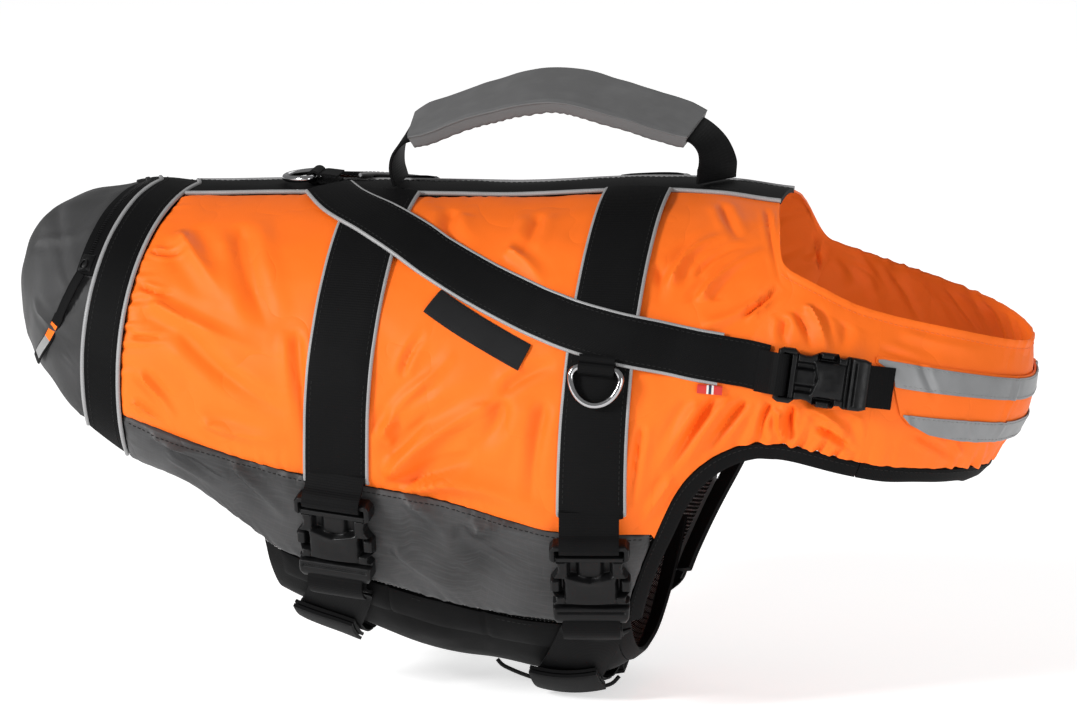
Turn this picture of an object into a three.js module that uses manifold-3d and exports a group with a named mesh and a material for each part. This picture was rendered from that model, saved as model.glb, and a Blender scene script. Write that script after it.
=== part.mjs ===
// A dog's life jacket, filled out as worn, with nobody in it. Millimetres, +Z up.
// +X runs towards the head, -Y is the side with the patch, and the origin lies on the inner
// face of the back, on the centre line, where the wearer's back carries the jacket.
import * as THREE from 'three';
import { mergeVertices } from 'three/addons/utils/BufferGeometryUtils.js';
import Module from 'manifold-3d';

const wasm = await Module();
wasm.setup();

// ---- Driving dimensions ----
const SEAM = 0.35; // gap between neighbouring pieces
const BODY_WALL = 3; // outer face of the foam-backed panels, above the base surface
const BODY_LINING = -3; // their inner face, below it
const CLOTH = 2.4; // outer face of the plain cloth pieces, whose inner face is the base surface
const WEBBING = 2; // thickness of the straps
const LAY = 0.5; // gap under a strap that lies on a panel
const STRAP_LIFT = BODY_WALL + 0.8; // underside of a girth strap
const STRAP_HALF = 20.5; // half the width of a girth strap with its piping
const SHOULDER_HALF = 15.5; // half the width of a shoulder strap with its piping
const SPINE_HALF = 21; // half the width of the strip along the back
const SPINE_TOP = 3.6; // outer face of the strip along the back
const BINDING = 10; // width of the binding on the leg and chest edges
const WIRE = 2; // radius of the rings' wire

const NECK_X = 187; // station where the side turns into the chest
const CHEST_ARC = 180; // length along the surface from there to the middle of the chest
const FRONT_X = NECK_X + CHEST_ARC; // surface coordinate of the middle of the chest
const RIM_ANGLE = 47.5; // where the neck's rim starts on that station, in degrees from the spine
const HEM_ANGLE = 109; // where the chest's lower edge starts on it

// Sections of the body, one row each. x is where a section crosses the spine; top, wide and low are the
// heights of the spine, of the widest point and of the belly's line; half is the half width; lean and
// sweep move the section's side and its underside along X.
const SECTIONS = [
  { x: -290, top: -52, wide: -70, low: -88, half: 3, lean: -1, sweep: 0 },
  { x: -284, top: -34, wide: -68, low: -100, half: 26, lean: -3, sweep: 0 },
  { x: -270, top: -20, wide: -70, low: -120, half: 49, lean: -8, sweep: 0 },
  { x: -252, top: -11, wide: -78, low: -138, half: 69, lean: -14, sweep: 0 },
  { x: -232, top: -8, wide: -86, low: -152, half: 84, lean: -21, sweep: 0 },
  { x: -209, top: -3, wide: -94, low: -162, half: 94, lean: -26, sweep: 0 },
  { x: -184, top: -4, wide: -100, low: -174, half: 99, lean: -27, sweep: 0 },
  { x: -125, top: -1, wide: -112, low: -238, half: 107, lean: -18, sweep: -3 },
  { x: -62, top: 1, wide: -120, low: -268, half: 113, lean: -8, sweep: -9 },
  { x: -22, top: 2, wide: -123, low: -282, half: 115, lean: -5, sweep: -11 },
  { x: 15, top: 3, wide: -125, low: -286, half: 117, lean: -3, sweep: -14 },
  { x: 90, top: 9, wide: -125, low: -291, half: 118, lean: 1, sweep: -18 },
  { x: 140, top: 9, wide: -108, low: -240, half: 109, lean: 0, sweep: -8 },
  { x: 170, top: 6, wide: -97, low: -200, half: 101, lean: 0, sweep: -1 },
  { x: NECK_X, top: 5, wide: -95, low: -190, half: 100, lean: 0, sweep: 0 },
];

// Middle of the chest, seen from the side: x and z at the rim and at the hem, and how it bellies out.
const CHEST_FRONT = { rimX: 323, rimZ: -73, hemZ: -149, belly: 4, tuck: 28, tuckPower: 2.6 };

// Heights of the edges that run along the body, against the section's x.
const LOWER_HEM = [
  { x: -290, z: -80 },
  { x: -270, z: -93 },
  { x: -252, z: -103 },
  { x: -232, z: -115 },
  { x: -209, z: -132 },
  { x: -184, z: -152 },
  { x: -145, z: -168 },
  { x: -122, z: -186 },
  { x: -95, z: -206 },
  { x: -40, z: -221 },
  { x: 25, z: -236 },
  { x: 105, z: -243 },
];
const COLOUR_SEAM = [
  { x: -184, z: -125 },
  { x: -140, z: -140 },
  { x: -85, z: -154 },
  { x: -5, z: -165 },
  { x: 45, z: -177 },
  { x: 68, z: -182 },
  { x: 125, z: -183 },
];
const LEG_EDGE = [
  { x: 105, z: -243 },
  { x: 108, z: -230 },
  { x: 115, z: -207 },
  { x: 124, z: -183 },
  { x: 134, z: -159 },
  { x: 146, z: -142 },
  { x: 160, z: -131 },
  { x: 175, z: -126 },
  { x: NECK_X, z: -126 },
];

// The bands that lie across the back: the section at each edge.
const HIP_BAND = { rear: -209, front: -184 };
const REAR_STRAP_X = -62;
const FRONT_STRAP_X = 90;
const SPINE_END = 176;

const COLOURS = {
  orange: { color: 0xf0701f, roughness: 0.55, metalness: 0 },
  grey: { color: 0x4a4a4b, roughness: 0.6, metalness: 0 },
  black: { color: 0x1a1a1b, roughness: 0.75, metalness: 0 },
  reflective: { color: 0x7f8182, roughness: 0.35, metalness: 0.2 },
  plastic: { color: 0x121213, roughness: 0.35, metalness: 0 },
  chrome: { color: 0xc8c8ca, roughness: 0.15, metalness: 1 },
  patch: { color: 0x2b2c2e, roughness: 0.7, metalness: 0 },
  red: { color: 0xb52a2a, roughness: 0.6, metalness: 0 },
};

const jacket = new THREE.Group();
jacket.name = 'dog_life_jacket';

// ---- Small helpers ----
const radians = (angle) => THREE.MathUtils.degToRad(angle);
const degrees = (angle) => THREE.MathUtils.radToDeg(angle);
const lerp = THREE.MathUtils.lerp;
const clamp = THREE.MathUtils.clamp;
const vec = (x, y, z) => new THREE.Vector3(x, y, z);

// A smooth value from one named column of a table whose rows are sorted by x.
function column(table, key, x) {
  const last = table.length - 1;
  if (x <= table[0].x) return table[0][key];
  if (x >= table[last].x) return table[last][key];
  const i = table.findIndex((row) => row.x > x) - 1;
  const slope = (k) => {
    const a = table[Math.max(k - 1, 0)];
    const b = table[Math.min(k + 1, last)];
    return (b[key] - a[key]) / (b.x - a.x);
  };
  const span = table[i + 1].x - table[i].x;
  const t = (x - table[i].x) / span;
  const from = table[i][key] * (1 + 2 * t) * (1 - t) ** 2 + slope(i) * span * t * (1 - t) ** 2;
  const to = table[i + 1][key] * t * t * (3 - 2 * t) - slope(i + 1) * span * t * t * (1 - t);
  return from + to;
}

// The same without smoothing, for edges that step.
function linear(table, key, x) {
  const i = clamp(table.findIndex((row) => row.x > x), 1, table.length) - 1;
  const j = Math.min(i + 1, table.length - 1);
  if (x >= table[table.length - 1].x) return table[table.length - 1][key];
  return lerp(table[i][key], table[j][key], (x - table[i].x) / (table[j].x - table[i].x));
}

// Numbers evenly spaced from a to b, both ends included.
function steps(a, b, count) {
  return Array.from({ length: count + 1 }, (_, i) => lerp(a, b, i / count));
}

// ---- The base surface ----
// A point of the body's side: x is the section, angle is in degrees from the spine, positive towards -Y.
function torso(x, angle) {
  const top = column(SECTIONS, 'top', x);
  const wide = column(SECTIONS, 'wide', x);
  const low = column(SECTIONS, 'low', x);
  const c = Math.cos(radians(angle));
  const s = Math.sin(radians(angle));
  const reach = c > 0 ? top - wide : wide - low;
  const leaning = c > 0 ? Math.abs(s) : 1;
  const shift = column(SECTIONS, 'lean', x) * leaning + column(SECTIONS, 'sweep', x) * (1 - c) / 2;
  return vec(x + shift, -column(SECTIONS, 'half', x) * s, wide + reach * c);
}

// A point of the chest: turn is 90 at the -Y side, 0 in the middle and -90 at the far side; drop runs
// from 0 at the neck's rim to 1 at the lower edge.
function chest(turn, drop) {
  const side = torso(NECK_X, lerp(RIM_ANGLE, HEM_ANGLE, drop));
  const tuck = CHEST_FRONT.tuck * Math.max(drop, 0) ** CHEST_FRONT.tuckPower;
  const frontX = CHEST_FRONT.rimX + CHEST_FRONT.belly * drop - tuck;
  const frontZ = lerp(CHEST_FRONT.rimZ, CHEST_FRONT.hemZ, drop);
  const s = Math.sin(radians(turn));
  const high = 0.55 * Math.abs(s) ** 1.8 + 0.45 * Math.abs(s) ** 16;
  const x = lerp(NECK_X, frontX, Math.cos(radians(turn)));
  return vec(x, side.y * s, lerp(frontZ, side.z, high));
}

// Both in one: p is the section's x up to the neck, then the length along the chest.
function shell(p, angle) {
  if (p <= NECK_X) return torso(p, angle);
  const turn = 90 * (1 - (p - NECK_X) / CHEST_ARC);
  return chest(turn, (angle - RIM_ANGLE) / (HEM_ANGLE - RIM_ANGLE));
}

const STEP_P = 0.5;
const STEP_ANGLE = 0.5;

function outward(p, angle) {
  const along = shell(p + STEP_P, angle).sub(shell(p - STEP_P, angle));
  const around = shell(p, angle + STEP_ANGLE).sub(shell(p, angle - STEP_ANGLE));
  return around.cross(along).normalize();
}

function lifted(p, angle, lift) {
  return shell(p, angle).addScaledVector(outward(p, angle), lift);
}

// The angle at which section x comes down to height z.
function angleAt(x, z) {
  const top = column(SECTIONS, 'top', x);
  const wide = column(SECTIONS, 'wide', x);
  const low = column(SECTIONS, 'low', x);
  if (z > wide) return degrees(Math.acos(clamp((z - wide) / (top - wide), -1, 1)));
  return 90 + degrees(Math.asin(clamp((wide - z) / (wide - low), -1, 1)));
}

// Turns a length along a section into degrees, near its side.
const turnFor = (x, length) => degrees(length / column(SECTIONS, 'half', x));
const spineAngle = (x) => degrees(Math.asin(SPINE_HALF / column(SECTIONS, 'half', x)));
const hemAngle = (x) => angleAt(x, column(LOWER_HEM, 'z', x));
const colourAngle = (x) => angleAt(x, column(COLOUR_SEAM, 'z', x));
const legAngle = (x) => (x < NECK_X ? angleAt(x, column(LEG_EDGE, 'z', x)) : HEM_ANGLE);

// ---- Making solids ----
function addMesh(name, geometry, look) {
  const mesh = new THREE.Mesh(geometry, new THREE.MeshStandardMaterial(COLOURS[look]));
  mesh.name = name;
  jacket.add(mesh);
  return mesh;
}

// A closed body from loops of points: every loop has the same count, and loops are joined in order.
// ring closes the last loop onto the first; otherwise both ends are capped.
function fromLoops(loops, ring = false) {
  const count = loops[0].length;
  const points = loops.flat();
  const faces = [];
  const bands = ring ? loops.length : loops.length - 1;
  for (let i = 0; i < bands; i += 1) {
    const a = i * count;
    const b = ((i + 1) % loops.length) * count;
    for (let j = 0; j < count; j += 1) {
      const k = (j + 1) % count;
      faces.push([a + j, b + j, b + k], [a + j, b + k, a + k]);
    }
  }
  if (!ring) {
    const half = count / 2;
    const end = (loops.length - 1) * count;
    for (let j = 0; j < half - 1; j += 1) {
      const far = count - 1 - j;
      faces.push([j, j + 1, far - 1], [j, far - 1, far]);
      faces.push([end + j, end + far - 1, end + j + 1], [end + j, end + far, end + far - 1]);
    }
  }
  return closedGeometry(points, faces);
}

// Points and triangles as a geometry whose faces point out.
function closedGeometry(points, faces) {
  let volume = 0;
  for (const [a, b, c] of faces) {
    volume += points[a].dot(points[b].clone().cross(points[c]));
  }
  const order = volume < 0 ? (f) => [f[0], f[2], f[1]] : (f) => f;
  const geometry = new THREE.BufferGeometry();
  geometry.setAttribute('position', new THREE.Float32BufferAttribute(points.flatMap((q) => q.toArray()), 3));
  geometry.setIndex(faces.flatMap(order));
  return geometry;
}

function mirrored(points, side) {
  return points.map((q) => vec(q.x, q.y * side, q.z));
}

// A piece of wall on the base surface. ps are the sections it crosses, from and to give its edges as
// angles, inner and outer its faces' lifts. side is 1 for -Y and -1 for its mirror image.
function panel({ name, look, ps, from, to, rows, inner, outer, side = 1 }) {
  const lift = (value, p) => (typeof value === 'function' ? value(p) : value);
  const loops = ps.map((p) => {
    const angles = steps(from(p), to(p), rows);
    const face = angles.map((a) => lifted(p, a, lift(outer, p)));
    const back = angles.map((a) => lifted(p, a, lift(inner, p))).reverse();
    return mirrored([...face, ...back], side);
  });
  return addMesh(name, fromLoops(loops), look);
}

// A strip of webbing that hugs the base surface along a path of { p, angle, lift, half } points.
function ribbon({ name, look, path, thick, across = 2, offset = 0, side = 1 }) {
  const at = (i) => path[clamp(i, 0, path.length - 1)];
  const loops = path.map((point, i) => {
    const { p, angle, lift, half } = point;
    const along = shell(at(i + 1).p, at(i + 1).angle).sub(shell(at(i - 1).p, at(i - 1).angle)).normalize();
    const normal = outward(p, angle);
    const wide = along.clone().cross(normal).normalize();
    const stepP = shell(p + STEP_P, angle).sub(shell(p - STEP_P, angle)).divideScalar(2 * STEP_P);
    const stepA = shell(p, angle + STEP_ANGLE).sub(shell(p, angle - STEP_ANGLE)).divideScalar(2 * STEP_ANGLE);
    const pp = stepP.dot(stepP);
    const aa = stepA.dot(stepA);
    const pa = stepP.dot(stepA);
    const det = pp * aa - pa * pa;
    const alpha = (wide.dot(stepP) * aa - wide.dot(stepA) * pa) / det;
    const beta = (wide.dot(stepA) * pp - wide.dot(stepP) * pa) / det;
    const widths = steps(offset - half, offset + half, across);
    const face = widths.map((w) => lifted(p + alpha * w, angle + beta * w, lift + thick));
    const back = widths.map((w) => lifted(p + alpha * w, angle + beta * w, lift)).reverse();
    return mirrored([...face, ...back], side);
  });
  return addMesh(name, fromLoops(loops), look);
}

// A tube of given radius along points: closed when ring is true.
function wireLoops(points, radius, sides, ring) {
  const count = points.length;
  const centre = points.reduce((sum, q) => sum.add(q), vec(0, 0, 0)).divideScalar(count);
  return points.map((q, i) => {
    const next = ring ? points[(i + 1) % count] : points[Math.min(i + 1, count - 1)];
    const before = ring ? points[(i + count - 1) % count] : points[Math.max(i - 1, 0)];
    const along = next.clone().sub(before).normalize();
    const out = q.clone().sub(centre);
    out.addScaledVector(along, -out.dot(along)).normalize();
    const up = along.clone().cross(out);
    return steps(0, 360, sides).slice(0, sides).map((a) => q.clone()
      .addScaledVector(out, radius * Math.cos(radians(a)))
      .addScaledVector(up, radius * Math.sin(radians(a))));
  });
}

function manifoldOf(geometry) {
  const bare = geometry.clone();
  for (const key of Object.keys(bare.attributes)) {
    if (key !== 'position') bare.deleteAttribute(key);
  }
  const merged = mergeVertices(bare);
  return new wasm.Manifold(new wasm.Mesh({
    numProp: 3,
    vertProperties: new Float32Array(merged.attributes.position.array),
    triVerts: new Uint32Array(merged.index.array),
  }));
}

function geometryOf(solid) {
  const mesh = solid.getMesh();
  const geometry = new THREE.BufferGeometry();
  geometry.setAttribute('position', new THREE.BufferAttribute(mesh.vertProperties, 3));
  geometry.setIndex(new THREE.BufferAttribute(mesh.triVerts, 1));
  return geometry;
}

// ---- Rear: rump cover, its zip, and the hip band ----
const ZIP_ANGLE = 58; // how far down each side the zip runs, in degrees from the spine
const ZIP_TAPE = { wide: 13, thick: 1 };
const ZIP_SLIDER = { long: 7, half: 4, thick: 3 };
const PULL_TAB = { half: 3.6, thick: 1.6 };
const PULL_PATH = [
  { p: -217, angle: 58.5, lift: 4.6 },
  { p: -222, angle: 67, lift: 3.4 },
  { p: -228, angle: 76, lift: 3.2 },
  { p: -236, angle: 87, lift: 3.2 },
  { p: -244, angle: 98, lift: 3.4 },
  { p: -251, angle: 108, lift: 3.8 },
];

function rear() {
  panel({
    name: 'rump_cover',
    look: 'grey',
    ps: [-289.5, -284, -277, -268, -257, -245, -233, -221, HIP_BAND.rear - SEAM],
    from: (x) => -hemAngle(x),
    to: hemAngle,
    rows: 22,
    inner: 0,
    outer: CLOTH,
  });
  panel({
    name: 'hip_band',
    look: 'black',
    ps: steps(HIP_BAND.rear, HIP_BAND.front, 2),
    from: (x) => -hemAngle(x),
    to: hemAngle,
    rows: 24,
    inner: 0,
    outer: STRAP_LIFT,
  });
  const zipLift = CLOTH + LAY;
  panel({
    name: 'zip_tape',
    look: 'black',
    ps: [HIP_BAND.rear - ZIP_TAPE.wide, HIP_BAND.rear - SEAM],
    from: () => -ZIP_ANGLE,
    to: () => ZIP_ANGLE,
    rows: 22,
    inner: zipLift,
    outer: zipLift + ZIP_TAPE.thick,
  });
  ribbon({
    name: 'zip_slider',
    look: 'plastic',
    path: [ZIP_ANGLE - 1 - ZIP_SLIDER.long, ZIP_ANGLE - 1].map((angle) => ({
      p: PULL_PATH[0].p + 1,
      angle,
      lift: zipLift + ZIP_TAPE.thick + LAY,
      half: ZIP_SLIDER.half,
    })),
    thick: ZIP_SLIDER.thick,
  });
  ribbon({
    name: 'zip_pull_tab',
    look: 'black',
    path: PULL_PATH.map((q) => ({ ...q, half: PULL_TAB.half })),
    thick: PULL_TAB.thick,
  });
}

// ---- Panels of the back and sides ----
function sidePanels(side, tag) {
  const shared = { from: (x) => spineAngle(x) + turnFor(x, SEAM), inner: BODY_LINING, outer: BODY_WALL, side };
  const toColour = (x) => colourAngle(x) - turnFor(x, SEAM);
  panel({
    ...shared,
    name: `orange_rear_${tag}`,
    look: 'orange',
    ps: steps(HIP_BAND.front + SEAM, REAR_STRAP_X - SEAM, 4),
    to: toColour,
    rows: 14,
  });
  panel({
    ...shared,
    name: `orange_middle_${tag}`,
    look: 'orange',
    ps: steps(REAR_STRAP_X + SEAM, FRONT_STRAP_X - SEAM, 5),
    to: toColour,
    rows: 15,
  });
  panel({
    name: `grey_lower_${tag}`,
    look: 'grey',
    ps: [...steps(HIP_BAND.front + SEAM, 104, 14), 108, 115, 121],
    from: (x) => colourAngle(x) + turnFor(x, SEAM),
    to: (x) => (x < 105 ? hemAngle(x) : legAngle(x) - turnFor(x, SEAM)),
    rows: 5,
    inner: BODY_LINING,
    outer: BODY_WALL,
    side,
  });
}

// The shoulder panel: from the front strap to the seam with the chest panel.
const SHOULDER_SEAM = 240;
const RIM_TURN = {
  near: [
    { x: SPINE_END, angle: 12.6 },
    { x: 178, angle: 19.5 },
    { x: 181, angle: 27 },
    { x: 185, angle: 39 },
    { x: 189, angle: 45 },
    { x: 196, angle: 48 },
    { x: 210, angle: 49.9 },
    { x: 225, angle: 50.3 },
    { x: 240, angle: 49.3 },
    { x: 260, angle: 48.7 },
    { x: 300, angle: 49 },
    { x: FRONT_X, angle: 49.3 },
  ],
  far: [
    { x: SPINE_END, angle: 12.6 },
    { x: 177, angle: 26 },
    { x: 179, angle: 42 },
    { x: 183, angle: 52 },
    { x: 190, angle: 56 },
    { x: 200, angle: 57.5 },
    { x: 212, angle: 56.5 },
    { x: 240, angle: 51.3 },
    { x: 260, angle: 49.7 },
    { x: 300, angle: 49 },
    { x: FRONT_X, angle: 49.3 },
  ],
};
const SHOULDER_PS = [
  FRONT_STRAP_X + SEAM, 99, 108, 115, 124, 134, 146, 160, 170, SPINE_END, 177, 179, 181, 183, 185, NECK_X,
  190, 196, 203, 212, 225, SHOULDER_SEAM - SEAM,
];

function rimAngle(p, tag) {
  if (p < SPINE_END) return spineAngle(p) + turnFor(p, SEAM);
  return column(RIM_TURN[tag], 'angle', Math.min(p, 2 * FRONT_X - p));
}

function shoulderPanel(side, tag) {
  panel({
    name: `orange_shoulder_${tag}`,
    look: 'orange',
    ps: SHOULDER_PS,
    from: (p) => rimAngle(p, tag),
    to: (p) => (p < 122 ? colourAngle(p) : legAngle(p)) - turnFor(p, SEAM),
    rows: 11,
    inner: 0,
    outer: CLOTH,
    side,
  });
}

function spineStrip() {
  panel({
    name: 'spine_strip',
    look: 'black',
    ps: steps(HIP_BAND.front + SEAM, SPINE_END, 9),
    from: (x) => -spineAngle(x),
    to: spineAngle,
    rows: 4,
    inner: 0,
    outer: SPINE_TOP,
  });
}

// ---- Girth straps, down each side to their buckles ----
const BUCKLE_TOP = { rear: 104.5, front: 107 };

function girthStrap(side, tag, place, x) {
  panel({
    name: `${place}_strap_${tag}`,
    look: 'black',
    ps: steps(x - STRAP_HALF, x + STRAP_HALF, 2),
    from: (p) => spineAngle(p) + turnFor(p, SEAM),
    to: () => BUCKLE_TOP[place],
    rows: 17,
    inner: STRAP_LIFT,
    outer: STRAP_LIFT + WEBBING,
    side,
  });
}

// ---- Shoulder straps, from the ring on the back to their buckles ----
const SHOULDER_STRAP = { rear: -98, front: 184 };
const SHOULDER_PATH = [
  { x: -104, angle: 6 },
  { x: -84, angle: 19 },
  { x: -60, angle: 27.5 },
  { x: -33, angle: 36 },
  { x: -3, angle: 44.5 },
  { x: 35, angle: 53.5 },
  { x: 66, angle: 59.5 },
  { x: 96, angle: 64 },
  { x: 125, angle: 69 },
  { x: 150, angle: 74.5 },
  { x: 170, angle: 79 },
  { x: 189, angle: 82 },
];
const OVER_STRAPS = STRAP_LIFT + WEBBING + LAY;

// How high the shoulder strap rides: over each girth strap, and down on the panels between.
function shoulderLift(p) {
  const clear = (x) => clamp((Math.abs(p - x) - STRAP_HALF - 8) / 16, 0, 1);
  const rest = p < FRONT_STRAP_X ? BODY_WALL + 2 * LAY : CLOTH + 2 * LAY;
  const t = Math.min(clear(REAR_STRAP_X), clear(FRONT_STRAP_X));
  return p < REAR_STRAP_X ? OVER_STRAPS : lerp(OVER_STRAPS, rest, t * t * (3 - 2 * t));
}

function shoulderStrap(side, tag) {
  const path = steps(SHOULDER_STRAP.rear, SHOULDER_STRAP.front, 22).map((p) => ({
    p,
    angle: column(SHOULDER_PATH, 'angle', p),
    lift: shoulderLift(p),
    half: SHOULDER_HALF,
  }));
  ribbon({ name: `shoulder_strap_${tag}`, look: 'black', path, thick: WEBBING, side });
}

// ---- Chest ----
const CHEST_SEAM = SHOULDER_SEAM + SEAM;
const THROAT_PATCH = { edge: 239, thick: 1.2 };
// Upper and lower edge of the patch, from its pointed end to the middle
const PATCH_EDGES = [
  { x: 239, top: 66.8, bottom: 68.8 },
  { x: 243, top: 66, bottom: 70 },
  { x: 251.2, top: 65.7, bottom: 70.6 },
  { x: 252.6, top: 65.6, bottom: 80 },
  { x: 256, top: 65.5, bottom: 86.5 },
  { x: 262, top: 65.5, bottom: 90 },
  { x: 275, top: 65.5, bottom: 93.5 },
  { x: 300, top: 65.5, bottom: 95.5 },
  { x: FRONT_X, top: 65.5, bottom: 95.8 },
];
const PATCH_PS = [239, 243, 247, 251.2, 252.6, 256, 259, 262, 268, 275, 285, 300, 318, 335, 351];
const BANDS = {
  upper: { edge: 240, from: 66.5, to: 76.2 },
  lower: { edge: 258, from: 86, to: 94.8 },
};
const BAND_INSET = 1; // degrees from the patch's edge
const BAND_THICK = 0.8;
const acrossChest = (from, count) => steps(from, 2 * FRONT_X - from, count);

function chestPieces() {
  panel({
    name: 'chest_panel',
    look: 'orange',
    ps: acrossChest(CHEST_SEAM, 16),
    from: (p) => rimAngle(p, p < FRONT_X ? 'near' : 'far'),
    to: (p) => HEM_ANGLE - turnFor(NECK_X, SEAM),
    rows: 7,
    inner: 0,
    outer: CLOTH,
  });
  const patchLift = CLOTH + LAY;
  const fromEnd = (p) => Math.min(p, 2 * FRONT_X - p);
  const patchTop = (p) => linear(PATCH_EDGES, 'top', fromEnd(p));
  const patchBottom = (p) => linear(PATCH_EDGES, 'bottom', fromEnd(p));
  const bothWays = (edge) => {
    const half = [edge, ...PATCH_PS.filter((p) => p > edge + 0.5)];
    return [...half, FRONT_X, ...half.map((p) => 2 * FRONT_X - p).reverse()];
  };
  panel({
    name: 'throat_patch',
    look: 'orange',
    ps: bothWays(THROAT_PATCH.edge),
    from: patchTop,
    to: patchBottom,
    rows: 4,
    inner: patchLift,
    outer: patchLift + THROAT_PATCH.thick,
  });
  const bandLift = patchLift + THROAT_PATCH.thick + LAY;
  for (const place of ['upper', 'lower']) {
    panel({
      name: `reflective_band_${place}`,
      look: 'reflective',
      ps: bothWays(BANDS[place].edge),
      from: (p) => Math.max(BANDS[place].from, patchTop(p) + BAND_INSET),
      to: (p) => Math.min(BANDS[place].to, patchBottom(p) - BAND_INSET * 0.6),
      rows: 2,
      inner: bandLift,
      outer: bandLift + BAND_THICK,
    });
  }
}

// ---- Binding ----
const BINDING_LIFT = -0.6; // its inner face, so that it wraps the panel's edge
const BINDING_THICK = 4;

function bindings() {
  for (const [side, tag] of [[1, 'near'], [-1, 'far']]) {
    const path = [105.5, 108, 115, 124, 134, 146, 160, 170, NECK_X, 197, 209, 223, SHOULDER_SEAM].map((p) => ({
      p,
      angle: legAngle(p),
      lift: BINDING_LIFT,
      half: BINDING / 2,
    }));
    ribbon({
      name: `leg_binding_${tag}`,
      look: 'black',
      path,
      thick: BINDING_THICK,
      offset: BINDING / 2 + SEAM,
      side,
    });
  }
  const path = acrossChest(SHOULDER_SEAM + 2 * SEAM, 16).map((p) => ({
    p,
    angle: HEM_ANGLE,
    lift: BINDING_LIFT,
    half: BINDING / 2,
  }));
  ribbon({ name: 'chest_binding', look: 'black', path, thick: BINDING_THICK, offset: BINDING / 2 + SEAM });
}

// ---- Belly ----
const BELLY_LIFT = BODY_LINING - 1.3; // the belly panel's outer face, inside the lower panels
const BELLY_WALL = 3;
const BELLY_TUCK = 9; // degrees that the belly panel reaches up inside the lower panels
const BELLY_FRONT = 101;
const BELLY_BAND = { rear: -100, front: 90, from: 3, to: 13, lift: 0.9, thick: 1.6 };
const BELLY_PS = [-110, -98, -80, -60, -35, -10, 15, 45, 75, 92, BELLY_FRONT];

function belly() {
  panel({
    name: 'belly_panel',
    look: 'black',
    ps: BELLY_PS,
    from: (x) => hemAngle(x) - BELLY_TUCK,
    to: (x) => 360 - hemAngle(x) + BELLY_TUCK,
    rows: 26,
    inner: BELLY_LIFT - BELLY_WALL,
    outer: BELLY_LIFT,
  });
  const edge = steps(125, 235, 12).map((angle) => ({
    p: BELLY_FRONT,
    angle,
    lift: BELLY_LIFT - BELLY_WALL,
    half: BINDING / 2,
  }));
  ribbon({ name: 'belly_binding', look: 'black', path: edge, thick: BELLY_WALL, offset: -BINDING / 2 - SEAM });
  for (const [side, tag] of [[1, 'near'], [-1, 'far']]) {
    panel({
      name: `belly_band_${tag}`,
      look: 'black',
      ps: steps(BELLY_BAND.rear, BELLY_BAND.front, 9),
      from: (x) => hemAngle(x) + BELLY_BAND.from,
      to: (x) => hemAngle(x) + BELLY_BAND.to,
      rows: 2,
      inner: BELLY_LIFT + BELLY_BAND.lift,
      outer: BELLY_LIFT + BELLY_BAND.lift + BELLY_BAND.thick,
      side,
    });
  }
}

// ---- Side-release buckles ----
// Sizes for webbing of 40 mm and of 25 mm: across the webbing, along it, out of the panel, the slot's
// length, and the degrees that the buckle covers each way.
const WIDE_BUCKLE = { wide: 48, long: 56, high: 11, slot: 41, reach: 14 };
const SMALL_BUCKLE = { wide: 33, long: 56, high: 9, slot: 26, reach: 10 };
const SLOT = { inset: 6, long: 4.5 }; // the slot the strap passes through

// The outline of a fastened buckle: the ears that hold the strap, the waist where the prongs go in, the
// two windows that show the prongs, and the body that tapers to its far bar.
function buckleOutline({ wide, long }) {
  const w = wide / 2;
  const l = long / 2;
  const half = [
    [-l, w * 0.9], [-l + 3, w], [-l + 10, w], [-l + 13, w * 0.84], [-l + 17, w * 0.8],
    [-l + 20, w * 0.82], [-2, w], [8, w], [9, w * 0.88], [12, w * 0.86], [14, w * 0.96],
    [l - 4, w * 0.94], [l, w * 0.86],
  ];
  const shape = new THREE.Shape();
  half.forEach(([a, b], i) => (i === 0 ? shape.moveTo(a, b) : shape.lineTo(a, b)));
  [...half].reverse().forEach(([a, b]) => shape.lineTo(a, -b));
  return shape;
}

function slotHole(centre, length, slot) {
  const hole = new THREE.Path();
  hole.moveTo(centre - length / 2, -slot / 2);
  hole.lineTo(centre + length / 2, -slot / 2);
  hole.lineTo(centre + length / 2, slot / 2);
  hole.lineTo(centre - length / 2, slot / 2);
  return hole;
}

// How far out a flat piece of the given half sizes has to lie at p and angle, to rest on what reaches base.
function restingLift(p, angle, reachP, reachAngle, base) {
  const normal = outward(p, angle);
  const origin = shell(p, angle);
  let highest = 0;
  for (const dp of steps(-reachP, reachP, 8)) {
    for (const da of steps(-reachAngle, reachAngle, 8)) {
      highest = Math.max(highest, lifted(p + dp, angle + da, base).sub(origin).dot(normal));
    }
  }
  return highest + LAY;
}

// Puts a buckle on the surface at p and angle. heading is the strap's direction there, in the surface:
// along is the unit vector from the strap's end towards the far bar.
function buckle(name, size, p, angle, lift, along, side) {
  const shape = buckleOutline(size);
  shape.holes.push(slotHole(-size.long / 2 + SLOT.inset, SLOT.long, size.slot));
  const geometry = new THREE.ExtrudeGeometry(shape, { depth: size.high, bevelEnabled: false });
  const normal = outward(p, angle);
  const length = along.clone().addScaledVector(normal, -along.dot(normal)).normalize();
  const across = normal.clone().cross(length);
  const frame = new THREE.Matrix4().makeBasis(length, across, normal);
  frame.setPosition(lifted(p, angle, lift));
  geometry.applyMatrix4(frame);
  if (side < 0) {
    geometry.applyMatrix4(new THREE.Matrix4().makeScale(1, -1, 1));
  }
  const solid = geometryOf(manifoldOf(side < 0 ? flipped(geometry) : geometry));
  addMesh(name, solid, 'plastic');
}

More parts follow.
